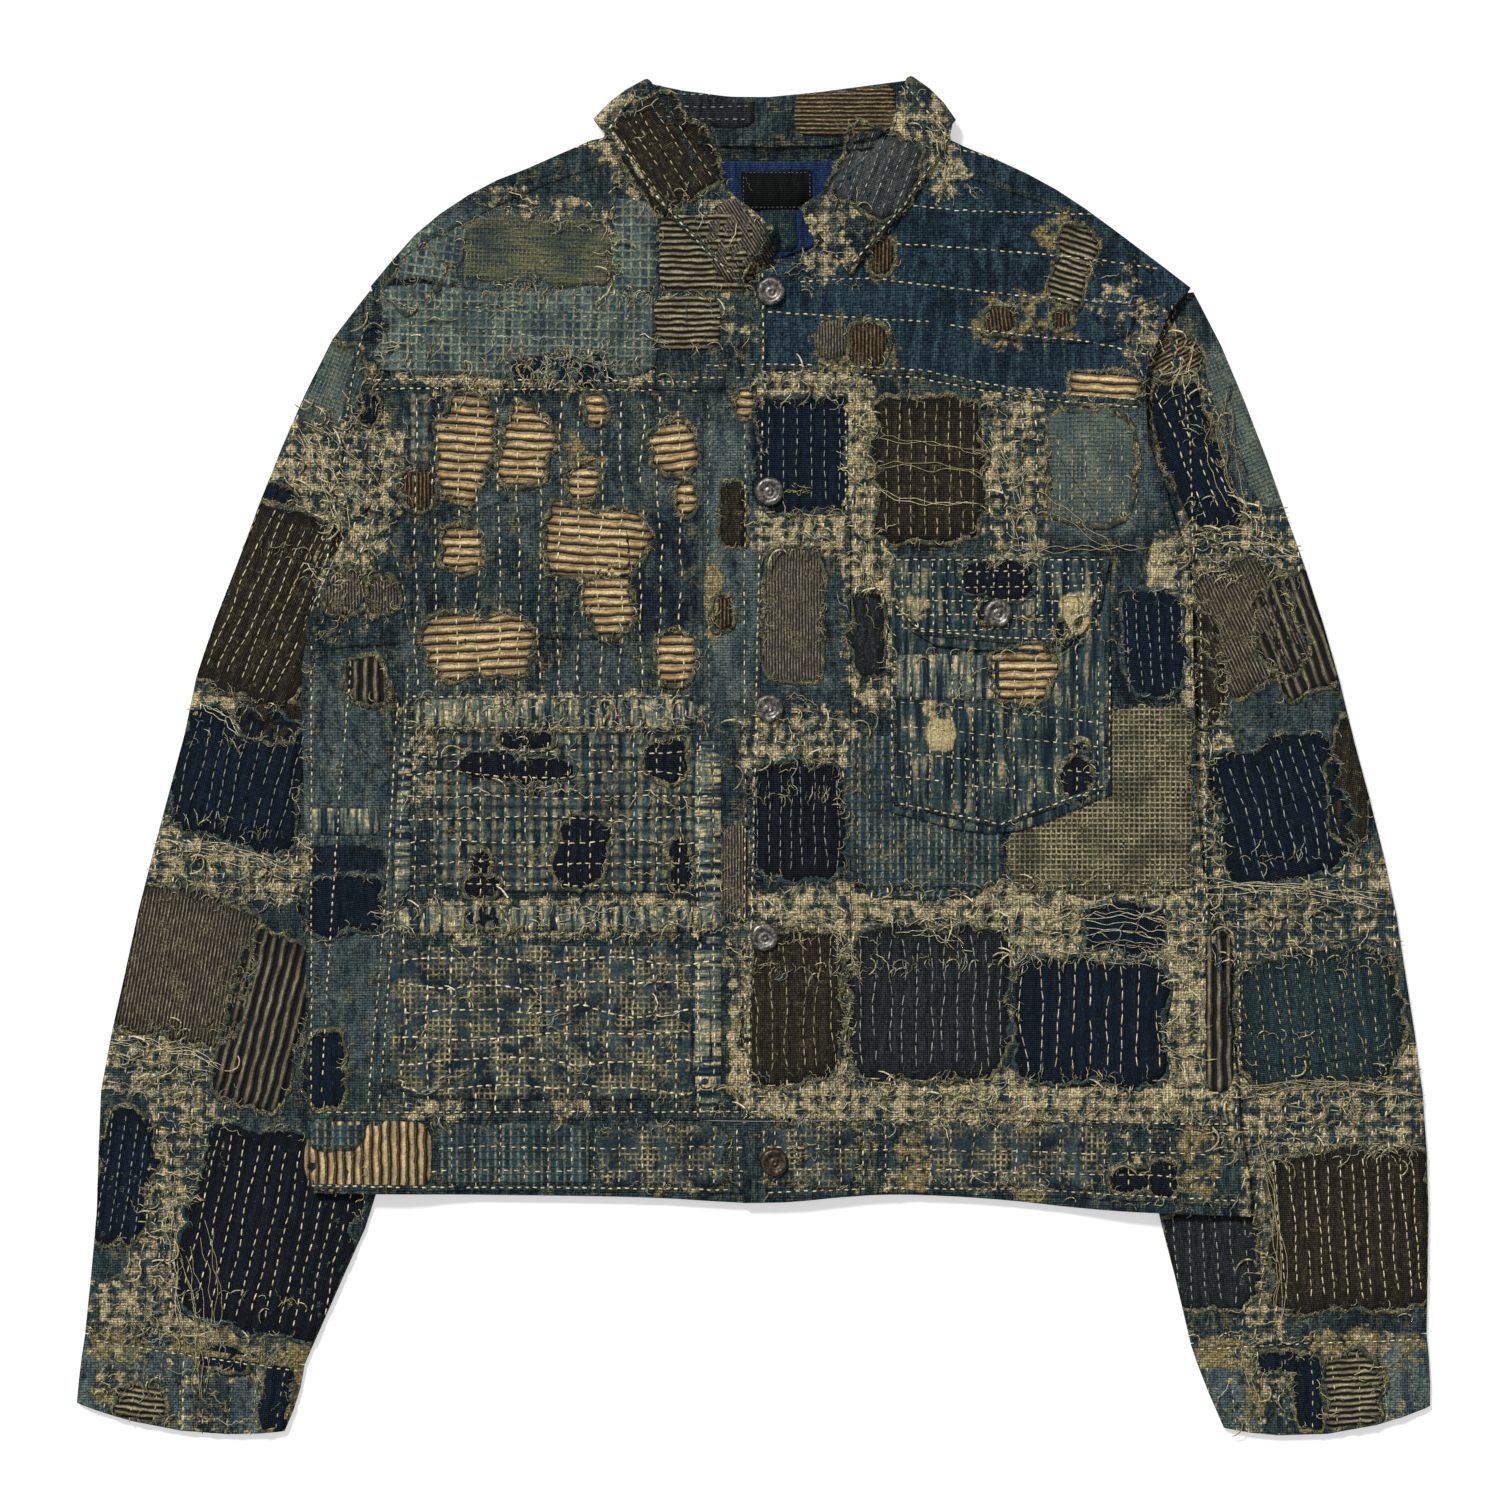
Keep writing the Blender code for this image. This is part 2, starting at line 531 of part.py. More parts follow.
def build_neck():
    """The lining that shows inside the neck, and the bare label on it."""
    bottom = [(-26, 316), (4, 300), (34, 308)]
    top = [(-56, 361), (-30, 360), (9, 359), (50, 360), (84, 363)]
    plan = filled_outline(bottom, top, [(-26, 316), (-56, 361)], [(34, 308), (84, 363)], 9, 7)

    def lining_low(x, y):
        return back_high(x, y) + SEAM_GAP

    def lining_high(x, y):
        return lining_low(x, y) + 1.0

    grid_solid("neck_lining", plan, lining_low, lining_high, "blue_lining")
    label = filled_outline([(-7, 330), (35, 331)], [(-8, 353), (34, 354)], [(-7, 330), (-8, 353)],
                           [(35, 331), (34, 354)], 4, 3)
    grid_solid("neck_label", label, lambda x, y: lining_high(x, y) + SEAM_GAP,
               lambda x, y: lining_high(x, y) + SEAM_GAP + 0.7, "label")


def build_pocket():
    """The chest pocket, and its flap over the pocket's mouth."""
    pocket_low = lambda x, y: over_high(x, y) + PATCH_GAP
    pocket_high = lambda x, y: pocket_low(x, y) + 1.6
    pocket = filled_outline([(81, -31), (148, -44), (214, -20)], [(83, 112), (213, 112)],
                            [(81, -31), (83, 112)], [(214, -20), (213, 112)], 8, 9)
    grid_solid("chest_pocket", pocket, pocket_low, pocket_high, "teal")
    flap = filled_outline([(82, 92), (99, 73), (143, 66), (187, 67), (208, 92)], [(81, 122), (213, 122)],
                          [(82, 92), (81, 122)], [(208, 92), (213, 122)], 9, 4)
    grid_solid("pocket_flap", flap, lambda x, y: pocket_high(x, y) + PATCH_GAP,
               lambda x, y: pocket_high(x, y) + PATCH_GAP + 1.8, "teal")
    return pocket_high


def build_patch(row, surface):
    """A thin patch with rounded corners, lying on the cloth under it."""
    name, x, y, half_wide, half_high, turn, squareness, colour = row
    cells_x = max(3, round(half_wide / 10) + 1)
    cells_y = max(3, round(half_high / 10) + 1)
    u, v = np.meshgrid(np.linspace(-1, 1, cells_x), np.linspace(-1, 1, cells_y), indexing="ij")
    # The square grid is drawn in at its corners until its rim is a superellipse
    radius = np.maximum(np.abs(u), np.abs(v))
    reach = (np.abs(u) ** squareness + np.abs(v) ** squareness) ** (1 / squareness)
    drawn = np.where(reach > 0, radius / np.maximum(reach, 1e-9), 1.0)
    across, along = u * drawn * half_wide, v * drawn * half_high
    c, s = math.cos(math.radians(turn)), math.sin(math.radians(turn))
    plan = np.dstack([x + across * c - along * s, y + across * s + along * c])
    grid_solid(name, plan, lambda a, b: surface(a, b) + PATCH_GAP,
               lambda a, b: surface(a, b) + PATCH_GAP + PATCH_WALL, colour)


def build_button(name, x, y, seat):
    """A ring-topped metal button: a dished face inside a raised rim, turned as one solid."""
    profile = [
        (0.0, 0.0), (5.2, 0.0), (5.2, 1.0), (BUTTON_RADIUS - 0.6, 1.2), (BUTTON_RADIUS, 1.9),
        (BUTTON_RADIUS - 0.5, 2.9), (6.6, BUTTON_HEIGHT), (4.6, 2.9), (3.4, 1.9), (1.4, 1.7), (0.0, 1.7),
    ]
    steps = 16
    points = [(x, y, seat + profile[0][1]), (x, y, seat + profile[-1][1])]
    for radius, height in profile[1:-1]:
        for k in range(steps):
            a = 2 * math.pi * k / steps
            points.append((x + radius * math.cos(a), y + radius * math.sin(a), seat + height))
    faces = []
    rows = len(profile) - 2
    for k in range(steps):
        after = (k + 1) % steps
        faces.append((0, 2 + after, 2 + k))
        top = 2 + (rows - 1) * steps
        faces.append((1, top + k, top + after))
        for r in range(rows - 1):
            a, b = 2 + r * steps + k, 2 + r * steps + after
            faces.append((a, b, b + steps, a + steps))
    piece = add_object(name, points, faces, "button_metal")
    piece.data.shade_smooth()
    piece.data.set_sharp_from_angle(angle=math.radians(40))


def build_buttons(pocket_high):
    reach = np.array([-BUTTON_RADIUS, 0, BUTTON_RADIUS])
    for number, (x, y) in enumerate(BUTTONS, start=1):
        spread_x, spread_y = np.meshgrid(x + reach, y + reach)
        seat = float(over_high(spread_x, spread_y).max()) + SEAM_GAP
        build_button(f"button_{number}", x, y, seat)
    x, y = POCKET_BUTTON
    spread_x, spread_y = np.meshgrid(x + reach, y + reach)
    seat = float(pocket_high(spread_x, spread_y).max()) + PATCH_GAP + 1.8 + SEAM_GAP
    build_button("pocket_button", x, y, seat)


def settle_origin():
    """Puts the middle of the laid jacket's box over the origin."""
    pieces = [o for o in bpy.context.scene.objects if o.type == "MESH"]
    corners = np.array([p.data.vertices[i].co[:] for p in pieces for i in range(len(p.data.vertices))])
    middle = (corners.min(axis=0) + corners.max(axis=0)) / 2
    lowest = corners[:, 2].min()
    for piece in pieces:
        piece.location = (-middle[0], -middle[1], -lowest)


def main():
    for old in list(bpy.data.objects):
        bpy.data.objects.remove(old)
    tube("sleeve_right", SLEEVE_RIGHT, 19, "denim")
    tube("sleeve_left", SLEEVE_LEFT, 19, "denim")
    tube("cuff_right", CUFF_RIGHT, 4, "teal")
    tube("cuff_left", CUFF_LEFT, 4, "teal")
    build_body()
    build_collar()
    build_neck()
    pocket_high = build_pocket()
    build_buttons(pocket_high)
    for row in PATCHES_FRONT:
        build_patch(row, front_high)
    for row in PATCHES_SLEEVE_RIGHT + PATCHES_SLEEVE_LEFT:
        build_patch(row, sleeve_top)
    settle_origin()


main()
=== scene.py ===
# %% [markdown]
# # A patched work jacket, laid flat
#
# The jacket lies on a surface with its front up, and the camera looks straight down on it, as a shop lays a
# garment out. Nearly everything on it is cloth: worn denim, the patches sewn to it, the older patches that show
# through its holes, rows of running stitch, and the fray round every worn edge. The solids of the part give each
# piece its place and thickness, so this script works outwards from them.

# %% Load the part's frame
import math
import random

import bmesh
import bpy
import numpy as np
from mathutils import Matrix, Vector, noise
from mathutils.bvhtree import BVHTree


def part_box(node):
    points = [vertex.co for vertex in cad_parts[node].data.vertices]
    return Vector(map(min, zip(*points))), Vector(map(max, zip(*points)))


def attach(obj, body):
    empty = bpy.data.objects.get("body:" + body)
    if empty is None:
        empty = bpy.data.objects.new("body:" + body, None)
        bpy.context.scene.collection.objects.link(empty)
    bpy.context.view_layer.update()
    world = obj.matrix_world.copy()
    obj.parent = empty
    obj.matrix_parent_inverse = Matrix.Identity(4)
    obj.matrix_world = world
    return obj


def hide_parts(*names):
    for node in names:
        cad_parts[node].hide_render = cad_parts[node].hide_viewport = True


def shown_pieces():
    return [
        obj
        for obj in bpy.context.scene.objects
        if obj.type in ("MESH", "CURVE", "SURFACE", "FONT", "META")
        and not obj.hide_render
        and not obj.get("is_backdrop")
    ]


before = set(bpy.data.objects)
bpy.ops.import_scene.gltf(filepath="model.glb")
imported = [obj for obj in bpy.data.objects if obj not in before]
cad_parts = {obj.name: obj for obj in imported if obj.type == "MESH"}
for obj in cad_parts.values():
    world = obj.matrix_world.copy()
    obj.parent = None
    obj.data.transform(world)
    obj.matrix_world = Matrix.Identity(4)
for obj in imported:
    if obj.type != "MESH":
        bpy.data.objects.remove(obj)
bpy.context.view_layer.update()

# %% [markdown]
# Patches are placed on a layout grid, as a maker pins them on a table: 0.6 mm to a step, counted across
# and down from the top left corner of the picture. One helper turns a grid place into metres in the part's frame.

# %% The layout grid
STEP = 0.0006
CENTRE_ACROSS, CENTRE_DOWN = 753.5, 756.0
MM = 0.001


def spot(across, down):
    return Vector(((across - CENTRE_ACROSS) * STEP, (CENTRE_DOWN - down) * STEP, 0.0))


def box_at(left, top, right, bottom):
    """The middle, half width and half length, in metres, of a box on the grid."""
    return spot((left + right) / 2, (top + bottom) / 2), (right - left) / 2 * STEP, (bottom - top) / 2 * STEP


def turned(x, y, degrees):
    """x and y turned anticlockwise."""
    angle = math.radians(degrees)
    return x * math.cos(angle) - y * math.sin(angle), x * math.sin(angle) + y * math.cos(angle)


# %% [markdown]
# The floor is a plain white sheet well past the jacket. A pale world gives soft light from everywhere, and one
# broad sun from the upper left lets threads and folds throw short soft shadows.

# %% Floor, light and camera
bpy.ops.mesh.primitive_plane_add(size=6.0, location=(0, 0, 0))
floor = bpy.context.object
floor.name = "floor"
paper = bpy.data.materials.new("white paper")
paper.use_nodes = True
paper.node_tree.nodes["Principled BSDF"].inputs["Base Color"].default_value = (0.5, 0.5, 0.5, 1)
paper.node_tree.nodes["Principled BSDF"].inputs["Emission Color"].default_value = (1, 1, 1, 1)
paper.node_tree.nodes["Principled BSDF"].inputs["Emission Strength"].default_value = 0.5
paper.node_tree.nodes["Principled BSDF"].inputs["Roughness"].default_value = 0.9
floor.data.materials.append(paper)
floor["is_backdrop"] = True

world = bpy.data.worlds.new("soft studio")
world.use_nodes = True
world.node_tree.nodes["Background"].inputs["Color"].default_value = (1, 1, 1, 1)
world.node_tree.nodes["Background"].inputs["Strength"].default_value = 0.42
bpy.context.scene.world = world

sun_data = bpy.data.lights.new("window", "SUN")
sun_data.energy = 3.5
sun_data.angle = math.radians(9)
sun = bpy.data.objects.new("window", sun_data)
sun.rotation_euler = (math.radians(-38), math.radians(-30), 0)
bpy.context.collection.objects.link(sun)

camera_data = bpy.data.cameras.new("camera")
CAMERA_HEIGHT, VIEW_WIDTH = 3.0, 0.9072
camera_data.lens = 36.0 * (CAMERA_HEIGHT - 0.006) / VIEW_WIDTH
camera = bpy.data.objects.new("camera", camera_data)
camera.location = (0.0015, 0.0, CAMERA_HEIGHT)
bpy.context.collection.objects.link(camera)
bpy.context.scene.camera = camera
bpy.context.scene.view_settings.view_transform = "Standard"
print("camera lens", round(camera_data.lens, 1), "mm, straight above")

# %% [markdown]
# Every cloth here is a small recipe of noise, stripes and colour blends, all in millimetres. The Loom below is
# the shared tool: it starts a material, measures the cloth in millimetres, either over the whole jacket or along
# one patch's own threads, and adds the nodes that a recipe asks for.

# %% The loom: a small tool for writing cloth
def dye(code):
    """A colour as a dyer writes it, for a shader."""
    parts = [int(code[i : i + 2], 16) / 255 for i in (1, 3, 5)]
    return tuple(p / 12.92 if p <= 0.04045 else ((p + 0.055) / 1.055) ** 2.4 for p in parts) + (1.0,)


class Loom:
    def __init__(self, name, roughness=0.93, own_threads=False, turn=0.0):
        self.material = bpy.data.materials.new(name)
        self.material.use_nodes = True
        self.nodes = self.material.node_tree.nodes
        self.links = self.material.node_tree.links
        self.shader = self.nodes["Principled BSDF"]
        self.shader.inputs["Roughness"].default_value = roughness
        self.shader.inputs["Specular IOR Level"].default_value = 0.15
        start = self.nodes.new("ShaderNodeUVMap" if own_threads else "ShaderNodeTexCoord")
        if own_threads:
            start.uv_map = "threads"
        measure = self.nodes.new("ShaderNodeMapping")
        measure.inputs["Scale"].default_value = (1000, 1000, 1000)
        measure.inputs["Rotation"].default_value = (0, 0, math.radians(turn))
        self.join(start.outputs["UV" if own_threads else "Object"], measure.inputs["Vector"])
        self.cloth = measure.outputs["Vector"]

    def join(self, value, socket):
        if isinstance(value, bpy.types.NodeSocket):
            self.links.new(value, socket)
        elif isinstance(value, str):
            socket.default_value = dye(value)
        else:
            socket.default_value = value

    def sum(self, kind, a, b=0.0):
        node = self.nodes.new("ShaderNodeMath")
        node.operation = kind
        self.join(a, node.inputs[0])
        self.join(b, node.inputs[1])
        return node.outputs[0]

    def times(self, a, b):
        return self.sum("MULTIPLY", a, b)

    def plus(self, a, b):
        return self.sum("ADD", a, b)

    def less(self, a, b):
        return self.sum("SUBTRACT", a, b)

    def most(self, a, b):
        return self.sum("MAXIMUM", a, b)

    def least(self, a, b):
        return self.sum("MINIMUM", a, b)

    def dimmed(self, amount, value, shade, tint):
        """The colour value with a shade of tint blended in by amount times shade."""
        return self.blend(self.times(amount, shade), value, tint)

    def grain(self, size, stretch=(1.0, 1.0), detail=3.0, rough=0.6, seed=0.0):
        """Noise whose grains are size mm, times stretch across and along."""
        place = self.nodes.new("ShaderNodeMapping")
        place.inputs["Scale"].default_value = (1 / (size * stretch[0]), 1 / (size * stretch[1]), 1 / size)
        place.inputs["Location"].default_value = (seed * 7.31, seed * 3.17, seed)
        self.join(self.cloth, place.inputs["Vector"])
        node = self.nodes.new("ShaderNodeTexNoise")
        node.inputs["Scale"].default_value = 1.0
        node.inputs["Detail"].default_value = detail
        node.inputs["Roughness"].default_value = rough
        self.join(place.outputs["Vector"], node.inputs["Vector"])
        return node.outputs["Fac"]

    def step(self, value, low, high):
        """0 below low, 1 above high, soft between."""
        node = self.nodes.new("ShaderNodeMapRange")
        node.interpolation_type = "SMOOTHSTEP"
        self.join(value, node.inputs["Value"])
        node.inputs["From Min"].default_value = low
        node.inputs["From Max"].default_value = high
        return node.outputs["Result"]

    def stripe(self, axis, pitch, share, soft=0.12, wander=0.0, shift=0.0, seed=1.0):
        """Lines across one axis, pitch mm apart, each taking share of the pitch."""
        parts = self.nodes.new("ShaderNodeSeparateXYZ")
        self.join(self.cloth, parts.inputs[0])
        place = parts.outputs[axis]
        if wander:
            sway = self.less(self.grain(14.0, detail=2, seed=seed), 0.5)
            place = self.plus(place, self.times(sway, wander * 4))
        turns = self.plus(self.times(place, 1 / pitch), shift + 200)
        tooth = self.times(self.sum("ABSOLUTE", self.less(self.sum("FRACT", turns), 0.5)), 2.0)
        return self.less(1.0, self.step(tooth, max(share - soft, 0.0), share + soft))

    def blend(self, share, a, b):
        node = self.nodes.new("ShaderNodeMix")
        node.data_type = "RGBA"
        self.join(share, node.inputs["Factor"])
        self.join(a, node.inputs[6])
        self.join(b, node.inputs[7])
        return node.outputs[2]

    def worn(self, name):
        """How much of one stored amount the piece's own points carry here; these are wear, painted shade and thread
        tint.
        """
        node = self.nodes.new("ShaderNodeAttribute")
        node.attribute_name = name
        return node.outputs["Fac"]

    def finish(self, colour, height=None, depth=0.4, yarn_shade_and_highlight=0.45):
        """Painted shade darkens the hollows between yarns and a painted highlight lightens their tops; a patch with a
        frayed rim gets a painted shadow along its edge, where the rim above it would shade it.
        """
        # painted shadow: the edge amount darkens a patch towards near black along its rim
        colour = self.blend(self.times(self.worn("edge"), 0.7), colour, "#0c1013")
        # painted shade and highlight: fine noise darkens and lightens the whole colour
        if yarn_shade_and_highlight:
            shade = self.nodes.new("ShaderNodeMapRange")
            self.join(self.grain(1.5, detail=4, rough=0.7, seed=41), shade.inputs["Value"])
            shade.inputs["From Min"].default_value, shade.inputs["From Max"].default_value = 0.32, 0.68
            shade.inputs["To Min"].default_value, shade.inputs["To Max"].default_value = 1 - 1.5 * yarn_shade_and_highlight, 1 + yarn_shade_and_highlight
            node = self.nodes.new("ShaderNodeMix")
            node.data_type, node.blend_type = "RGBA", "MULTIPLY"
            node.inputs["Factor"].default_value = 1.0
            self.join(colour, node.inputs[6])
            self.join(shade.outputs["Result"], node.inputs[7])
            colour = node.outputs[2]
        self.join(colour, self.shader.inputs["Base Color"])
        if height is not None:
            bump = self.nodes.new("ShaderNodeBump")
            bump.inputs["Distance"].default_value = depth * MM
            self.join(height, bump.inputs["Height"])
            self.join(bump.outputs["Normal"], self.shader.inputs["Normal"])
        return self.material


# %% [markdown]
# The ground is indigo denim, faded unevenly over decades: deep blue where it was covered, teal grey where it was
# rubbed, and khaki where the white weft shows through. The recipe layers those by noise at several sizes, darkens
# the gaps between yarns as painted shade, and reads four kinds of marks from the piece's own points: fray, fade,
# stain and ink, where ink is deep navy and also painted shade along seams and in valleys. The wear and shade
# tables come later.

# %% Worn denim
def weave_height(loom, pitch=1.5):
    across = loom.stripe(0, pitch, 0.5, 0.5)
    along = loom.stripe(1, pitch, 0.5, 0.5)
    return loom.times(loom.plus(across, along), 0.5)


def denim(name, deep, blue, rubbed, weft, khaki_low=0.50, yarn=0.55):
    c = Loom(name)
    colour = c.blend(c.step(c.grain(30, detail=6, seed=3), 0.40, 0.60), deep, blue)
    colour = c.blend(c.times(c.step(c.grain(8, (0.5, 3.2), 4, 0.62, 5), 0.44, 0.66), 0.85), colour, rubbed)
    patch = c.step(c.grain(12, (0.9, 1.1), 6, 0.7, 9), khaki_low, khaki_low + 0.13)
    warp = c.grain(1.1, (0.8, 5.0), 3, 0.6, 11)
    weft_yarn = c.grain(1.1, (5.0, 0.8), 3, 0.6, 13)
    light = c.step(c.plus(c.most(warp, weft_yarn), c.times(patch, 0.08)), 0.56, 0.68)
    colour = c.blend(c.times(light, yarn), colour, c.blend(patch, rubbed, weft))
    # painted shade: where neither warp nor weft yarn is high, the gaps between yarns are darkened towards near black
    dark = c.step(c.least(warp, weft_yarn), 0.34, 0.46)
    colour = c.blend(c.times(c.less(1.0, dark), 0.7), colour, "#0c141b")
    ragged = c.times(c.less(c.grain(9, detail=6, rough=0.75, seed=21), 0.5), 2.3)

    def wear_and_shade_amount(kind, low=0.38, high=0.58, torn=1.0):
        return c.step(c.plus(c.worn(kind), c.times(ragged, torn)), low, high)

    faded = c.blend(c.step(c.grain(13, (0.5, 2.2), 3, 0.6, 23), 0.36, 0.66), "#3f5156", "#72807a")
    colour = c.dimmed(wear_and_shade_amount("fade", 0.3, 0.7, 0.5), colour, 0.85, faded)
    # ink is partly real deep navy and partly painted shade darkening the ground along seams and in valleys
    ink_and_shade_colour = c.blend(c.step(c.grain(5, (0.4, 2.0), 4, seed=25), 0.42, 0.62), "#0c141e", "#1a2937")
    colour = c.dimmed(wear_and_shade_amount("ink", torn=0.7), colour, 0.93, ink_and_shade_colour)
    yellow = c.blend(c.step(c.grain(2.4, (1.2, 0.8), 4, seed=27), 0.40, 0.6), "#7d7148", "#b5a26c")
    colour = c.dimmed(wear_and_shade_amount("stain"), colour, 0.8, yellow)
    bars = c.plus(c.stripe(0, 9.4, 0.55, 0.45, wander=2.4), c.stripe(1, 8.2, 0.6, 0.4, wander=2.0, seed=4))
    block = c.plus(c.times(bars, 0.085), c.grain(9.5, (0.75, 1.15), 6, 0.72, 31))
    block = c.less(block, c.plus(0.02, c.times(c.worn("fade"), 0.10)))
    ravel = c.blend(c.step(block, 0.44, 0.57), "#26383f", "#75745b")
    ravel = c.blend(c.step(block, 0.52, 0.64), ravel, "#e6d4a2")
    # painted shade: the loose weft of the fray is darkened between its threads
    rib_ends = c.step(c.grain(2.2, (0.6, 2.0), 3, seed=28), 0.3, 0.6)
    ribs = c.times(c.stripe(0, 1.9, 0.5, 0.45, wander=0.5, seed=6), rib_ends)
    ravel = c.blend(c.times(c.less(1.0, ribs), 0.40), ravel, "#182229")
    dash = c.step(c.most(c.grain(1.6, (2.4, 0.6), 3, 0.6, 29), c.grain(1.6, (0.6, 2.4), 3, 0.6, 30)), 0.58, 0.68)
    ravel = c.blend(c.times(dash, 0.6), ravel, c.blend(c.step(block, 0.46, 0.6), "#7f8f89", "#efe2b8"))
    colour = c.dimmed(wear_and_shade_amount("fray", 0.40, 0.56), colour, 0.95, ravel)
    rough_yarn = c.plus(c.most(warp, weft_yarn), c.grain(2.2, detail=4, rough=0.7, seed=35))
    height = c.plus(weave_height(c), c.times(rough_yarn, 1.8))
    return c.finish(colour, height, 1.0, 0.62)


CLOTHS = {
    "worn denim": denim("worn denim", "#17232b", "#26393f", "#50615d", "#938b64", 0.48),
    "smooth indigo": denim("smooth indigo", "#182936", "#253c4a", "#425b64", "#77786a", 0.60, 0.3),
}
print("denims written:", ", ".join(CLOTHS))

# %% [markdown]
# The dark patches are wool and cotton: navy, charcoal and brown. They are nearly plain, with soft slubs along
# their own threads, so their patterns follow each patch and turn with it. Soft folds run along them, with painted
# shade in the valleys between.

# %% Plain dark cloths
def plain(name, deep, light, hair, slub=(0.35, 2.4), hairs=0.25, spots=0.0, spot_colour="#8a8060"):
    c = Loom(name, own_threads=True)
    colour = c.blend(c.step(c.grain(6, slub, 5, 0.7, 2), 0.38, 0.64), deep, light)
    colour = c.blend(c.times(c.step(c.grain(1.2, (0.7, 2.2), 3, seed=4), 0.52, 0.66), hairs), colour, hair)
    if spots:
        fuzz = c.times(c.step(c.grain(9, detail=5, rough=0.75, seed=6), 0.52, 0.66), spots)
        fuzz = c.times(fuzz, c.step(c.grain(1.3, (0.9, 1.4), 2, seed=7), 0.46, 0.6))
        colour = c.blend(fuzz, colour, spot_colour)
    # the folds are real bumps; their valleys are also darkened towards the deep colour as painted shade
    fold_ridges_and_shade = c.stripe(0, 7.8, 0.5, 0.5, wander=0.9)
    colour = c.blend(c.times(c.less(1.0, fold_ridges_and_shade), 0.4), colour, deep)
    height = c.plus(weave_height(c, 1.2), c.times(c.grain(3.0, slub, 4, 0.65, 8), 2.0))
    return c.finish(colour, c.plus(height, c.times(fold_ridges_and_shade, 1.6)), 0.9)


CLOTHS["navy"] = plain("navy", "#09151f", "#132536", "#324555", spots=0.25, spot_colour="#5b6a70")
CLOTHS["black"] = plain("black", "#0d1119", "#1a212c", "#3c434c", spots=0.2, spot_colour="#6a6c66")
CLOTHS["charcoal"] = plain("charcoal", "#1b1f20", "#353a3a", "#5c6260", hairs=0.4)
CLOTHS["grey wool"] = plain("grey wool", "#33383a", "#5d615f", "#85877f", hairs=0.4)
CLOTHS["brown"] = plain("brown", "#221e17", "#3d372b", "#6f6652", hairs=0.4, spots=0.55, spot_colour="#9a8963")
CLOTHS["teal"] = plain("teal", "#1a2c32", "#31474a", "#65776f", hairs=0.4, spots=0.5, spot_colour="#8f8f70")

# %% [markdown]
# Three cloths have raised or printed lines. Corduroy has ribs about 2 mm apart, with painted shade in the valleys
# between them. Ticking is a cream cloth with thin dark lines, here peach with age, with painted shade in its folds
# and along each line. The narrow ticking has wider black bars. Fray and dirt break all of them.

# %% Ribbed and striped cloths
def ribbed(name, valley, ridge, light, pitch=2.1, axis=0, dusk=0.5):
    c = Loom(name, own_threads=True)
    rib = c.stripe(axis, pitch, 0.45, 0.35, wander=0.25)
    along = (0.5, 3.0) if axis == 0 else (3.0, 0.5)
    # painted shade: the valleys between the ribs take the dark valley colour, the rib tops the lighter ones
    colour = c.blend(rib, valley, c.blend(c.step(c.grain(2.0, along, 3, seed=3), 0.42, 0.62), ridge, light))
    dust = c.times(c.step(c.grain(14, detail=6, rough=0.7, seed=5), 0.50, 0.64), dusk)
    colour = c.blend(dust, colour, c.blend(c.step(c.grain(1.6, (1.2, 0.7), seed=6), 0.45, 0.6), valley, "#a99c78"))
    return c.finish(colour, c.plus(rib, c.grain(1.6, detail=3, seed=8)), 0.9)


def ticking(name, paper_colour, shade_colour, line_colour, pitch=6.0, axis=1, share=0.16, double=True):
    c = Loom(name, own_threads=True)
    # painted shade: the folds darken the paper towards its shade colour
    fold = c.step(c.grain(9, (1.6, 0.7) if axis == 1 else (0.7, 1.6), 4, seed=3), 0.38, 0.64)
    colour = c.blend(fold, shade_colour, paper_colour)
    colour = c.blend(c.times(c.step(c.grain(1.3, detail=2, seed=4), 0.46, 0.62), 0.35), colour, shade_colour)
    lines = c.stripe(axis, pitch, share, 0.10, wander=0.8)
    # painted shade in the valley along each line, a wide soft brown band
    line_valley_shade = c.stripe(axis, pitch, share + 0.30, 0.25, wander=0.8)
    colour = c.dimmed(line_valley_shade, colour, 0.65, "#4a3d2c")
    if double:
        second = c.stripe(axis, pitch, share * 0.55, 0.08, wander=0.8, shift=0.30)
        lines = c.most(lines, c.times(second, 0.7))
    ribs = c.stripe(axis, pitch, 0.6, 0.4, wander=0.8, shift=0.5)
    colour = c.dimmed(lines, colour, 0.95, line_colour)
    return c.finish(colour, c.plus(c.times(ribs, 1.5), c.grain(1.4, detail=3, seed=7)), 1.0, 0.25)


CLOTHS["corduroy"] = ribbed("corduroy", "#25211d", "#5e564a", "#988d75")
CLOTHS["grey rib"] = ribbed("grey rib", "#2a2826", "#625c52", "#9c917a", 1.8)
CLOTHS["brown rib"] = ribbed("brown rib", "#1c1612", "#54432f", "#8a7452", 2.3, dusk=0.3)
CLOTHS["cross rib"] = ribbed("cross rib", "#1f1b18", "#6a5a41", "#a38f66", 2.6, axis=1, dusk=0.3)
CLOTHS["ticking"] = ticking("ticking", "#ecd09a", "#b3966a", "#110f12", 5.6, share=0.21)
CLOTHS["long ticking"] = ticking("long ticking", "#d6b986", "#9a8560", "#101216", 5.4, axis=0, share=0.24)
CLOTHS["dark ticking"] = ticking("dark ticking", "#989074", "#635e4e", "#0e1114", 6.0, axis=0, share=0.52)
CLOTHS["bar ticking"] = ticking("bar ticking", "#b5ab88", "#766f58", "#0d1013", 3.7, share=0.42, double=False)

# %% [markdown]
# The last cloths are woven checks. Each is a colour for the lines down, one for the lines across, and one where
# they cross, over a blotched ground, as a plaid is on a real loom. Worn plaids lose their lines in spots.

